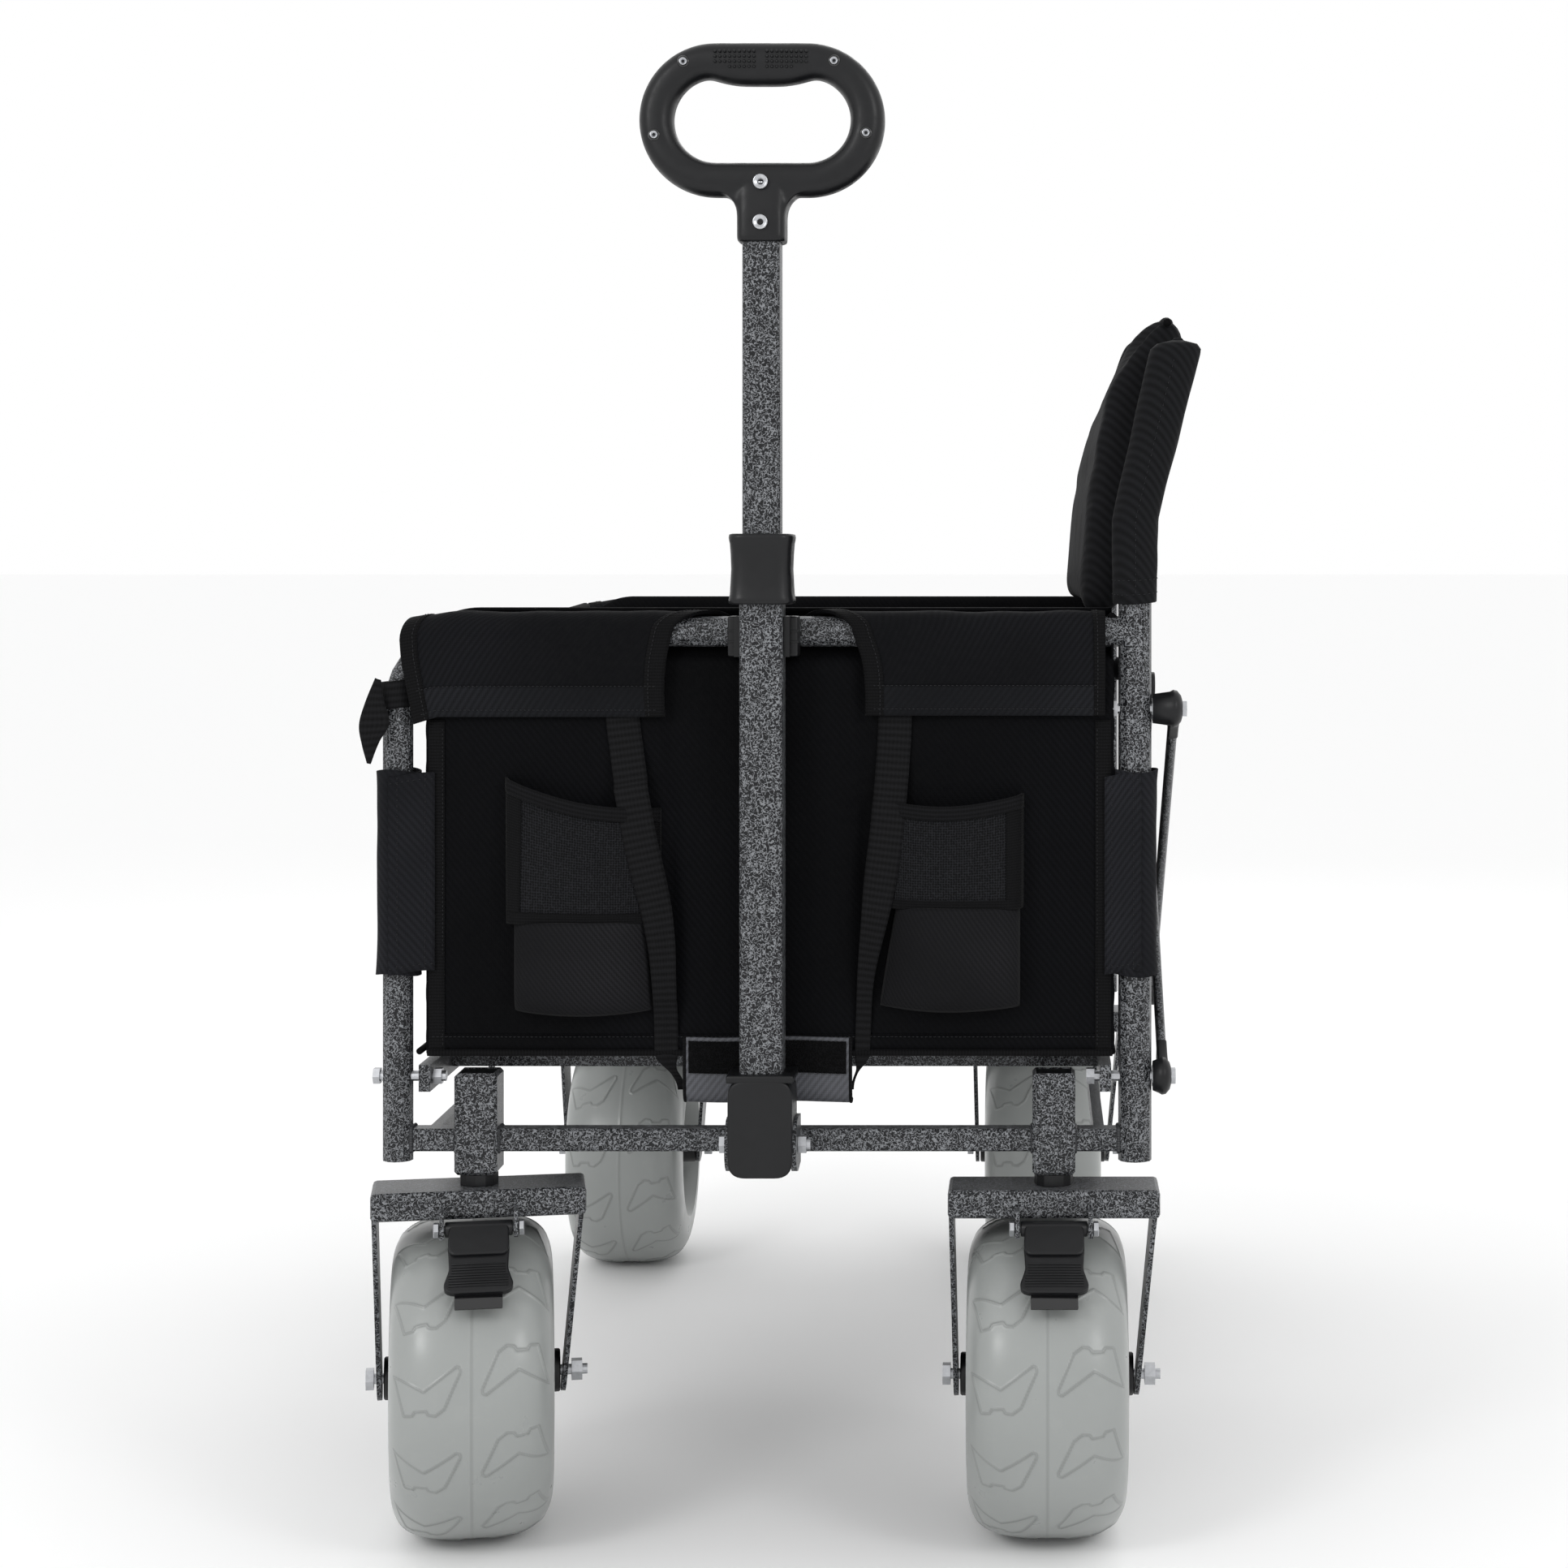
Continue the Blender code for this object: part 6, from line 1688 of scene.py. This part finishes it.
def knob(label, plane, centre, climb, body):
    """The domed boss moulded on a bar's end round its pivot; the outer bar's reaches in to the post."""
    outer = plane + 0.0068
    inner = plane - (0.0165 if climb < 0 else 0.0080)
    middle_x = (outer + inner) / 2
    half = (outer - inner) / 2
    profile = [(0.0, half), (0.0050, half - 0.0002), (0.0100, half - 0.0016), (0.0136, half - 0.0046),
               (0.0142, half - 0.0075), (0.0128, half - 0.0100), (0.0110, -half + 0.0004), (0.0, -half)]
    mesh = lathe("knob", profile, 40, Vector((middle_x, centre.y, centre.z)))
    add("bar_knob_" + label, mesh, PLASTIC, body)


STUB_SPREAD = 0.216               # a stub's centre to the mid-plane
STUB_TOP = 0.3525
CROSSBAR_HEIGHT = 0.303           # centre of the lower crossbars


def trim():
    """Caps in the stubs and weld beads on the frames."""
    for body, base in (("front", 0.0), ("rear", SPACING)):
        for side, sign in SIDES:
            centre = at(sign * STUB_SPREAD, base, STUB_TOP)
            mesh = block("cap", centre - Vector((0.0128, 0.0128, 0.0022)),
                         centre + Vector((0.0128, 0.0128, 0.0006)), 0.0008)
            add("stub_cap_%s_%s" % (body, side), mesh, PLASTIC, body)
            beads(body, side, sign, base)


def beads(body, side, sign, base):
    """Rippled weld fillets where the lower crossbar meets a post and a stub."""
    post = sign * (HALF_SPREAD - (BAR_RADIUS if sign < 0 else POST_RADIUS))
    half = 0.0085
    bm = bmesh.new()
    for u in (post, sign * (STUB_SPREAD + 0.016), sign * (STUB_SPREAD - 0.016)):
        for edge in range(4):
            for k in range(9):
                share = (k + 0.5) / 9 * 2 - 1
                offset = {0: (share * half, -half), 1: (share * half, half),
                          2: (-half, share * half), 3: (half, share * half)}[edge]
                centre = at(u, base + offset[1], CROSSBAR_HEIGHT + offset[0])
                size = 0.0017 + 0.0004 * noise.noise(centre * 900)
                bmesh.ops.create_uvsphere(bm, u_segments=8, v_segments=6, radius=size,
                                          matrix=Matrix.Translation(centre))
    add("weld_%s_%s" % (body, side), solid_mesh("weld", bm), WELD, body)


def collar():
    """The moulded lock collar: a soft-cornered box, drawn in at its waist, with a lip at each end."""
    low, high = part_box("handle_collar")
    centre = (low + high) / 2
    half_x = 0.0240
    half_y = (high.y - low.y) / 2 - 0.0005
    rings = []
    for share, scale in ((0.0, 0.90), (0.012, 0.985), (0.05, 1.0), (0.10, 0.985), (0.14, 0.965),
                         (0.30, 0.945), (0.50, 0.925), (0.70, 0.940), (0.86, 0.965), (0.90, 0.985),
                         (0.945, 1.0), (0.988, 0.985), (1.0, 0.90)):
        z = low.z + (high.z - low.z) * share
        rings.append([(centre.x + half_x * scale * rounded(c, 0.42),
                       centre.y + half_y * scale * rounded(s, 0.42), z) for c, s in turns(64)])
    piece = add("lock_collar", tube("collar", rings), PLASTIC, "handle")
    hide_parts("handle_collar")


def knuckle():
    """The handle's moulded foot: a deep block with well-rounded lower corners and a lip at its mouth."""
    low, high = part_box("handle_knuckle")
    centre = (low + high) / 2
    lie = Matrix.Translation((centre.x, centre.y, 0.0)) @ Matrix.Rotation(math.pi / 2, 4, "X")
    half = (high.x - low.x) / 2 - 0.0012
    mouth = high.z - 0.004
    foot = arc_corners([(-half, mouth), (-half, low.z), (half, low.z), (half, mouth)], 0.013, 8)
    body = add("knuckle_body", outline_slab("foot", foot, high.y - low.y, lie, 0.0030, 4), PLASTIC, "handle")
    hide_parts("handle_knuckle")
    lip = block("lip", (low.x, low.y, high.z - 0.0065), (high.x, high.y, high.z - 0.0005), 0.0022)
    add("knuckle_lip", lip, PLASTIC, "handle")


def clip_arms():
    """The spring arms of the clip on the crossbar, either side of the handle tube."""
    low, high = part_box("handle_clip")
    for side, sign in SIDES:
        inner = sign * 0.0170
        outer = sign * 0.0262
        a = at(min(inner, outer), -0.0300, low.z)
        b = at(max(inner, outer), -0.0080, high.z)
        add("clip_arm_" + side, block("arm", a, b, 0.0020), PLASTIC, "front")
        for z in (low.z + 0.011, high.z - 0.011):
            a = at(min(inner, outer) - 0.0005, -0.0306, z - 0.0008)
            b = at(max(inner, outer) + 0.0005, -0.0290, z + 0.0008)
            add("clip_rib_%s_%d" % (side, round(z * 1000)), block("rib", a, b, 0.0004), PLASTIC,
                "front")


# ------------------------------------------------------------------ stage

# Soft lights: name, place, width in metres and power in watts
LIGHTS = (("key", (-1.5, -2.6, 1.9), 0.8, 17.0), ("fill", (1.7, -2.3, 1.7), 0.7, 11.0),
          ("back", (0.3, 2.8, 2.6), 1.6, 14.0))


def stage():
    """A pale floor under a white sky, with three soft lights."""
    bm = bmesh.new()
    bmesh.ops.create_grid(bm, x_segments=1, y_segments=1, size=300.0)
    mesh = bpy.data.meshes.new("floor")
    bm.to_mesh(mesh)
    bm.free()
    floor = bpy.data.objects.new("floor", mesh)
    bpy.context.scene.collection.objects.link(floor)
    pale = bpy.data.materials.new("pale_floor")
    pale.use_nodes = True
    shader = pale.node_tree.nodes["Principled BSDF"]
    shader.inputs["Base Color"].default_value = (0.96, 0.96, 0.96, 1.0)
    shader.inputs["Roughness"].default_value = 0.75
    mesh.materials.append(pale)
    world = bpy.data.worlds.new("studio")
    world.use_nodes = True
    sky = world.node_tree.nodes["Background"]
    sky.inputs["Color"].default_value = (1.0, 1.0, 1.0, 1.0)
    sky.inputs["Strength"].default_value = 1.0
    bpy.context.scene.world = world
    bpy.context.scene.view_settings.view_transform = "Standard"
    for name, place, size, power in LIGHTS:
        light = bpy.data.lights.new(name, "AREA")
        light.energy = power
        light.size = size
        obj = bpy.data.objects.new(name, light)
        obj.location = place
        direction = Vector((0.0, 0.0, 0.5)) - Vector(place)
        obj.rotation_euler = direction.to_track_quat("-Z", "Y").to_euler()
        bpy.context.scene.collection.objects.link(obj)


def camera():
    """The eye stands in front, a little to the right and just above the basket's rim."""
    data = bpy.data.cameras.new("camera")
    data.lens = 66.1
    data.sensor_width = 36.0
    data.shift_x = -0.158
    data.shift_y = -0.138
    data.clip_end = 400.0
    obj = bpy.data.objects.new("camera", data)
    obj.location = at(0.1995, -2.165, 0.732)
    obj.rotation_euler = (math.radians(90.0), 0.0, 0.0)
    bpy.context.scene.collection.objects.link(obj)
    bpy.context.scene.camera = obj


camera()
stage()
kept_nodes()
wheels()
brakes()
grip()
end_wall("front_panel", -1, "front")
end_wall("rear_panel", 1, "rear")
side_walls()
floor_pieces()
flaps()
pocket("left")
pocket("right")
webbing("left")
webbing("right")
post_sleeve("left", -1)
post_sleeve("right", 1)
loop_strap()
bottom_flap()
backrest_pad()
backrest_sleeve("front", 0.0, -1, "front")
backrest_sleeve("rear", SPACING, 1, "rear")
side_bars()
collar()
knuckle()
clip_arms()
trim()
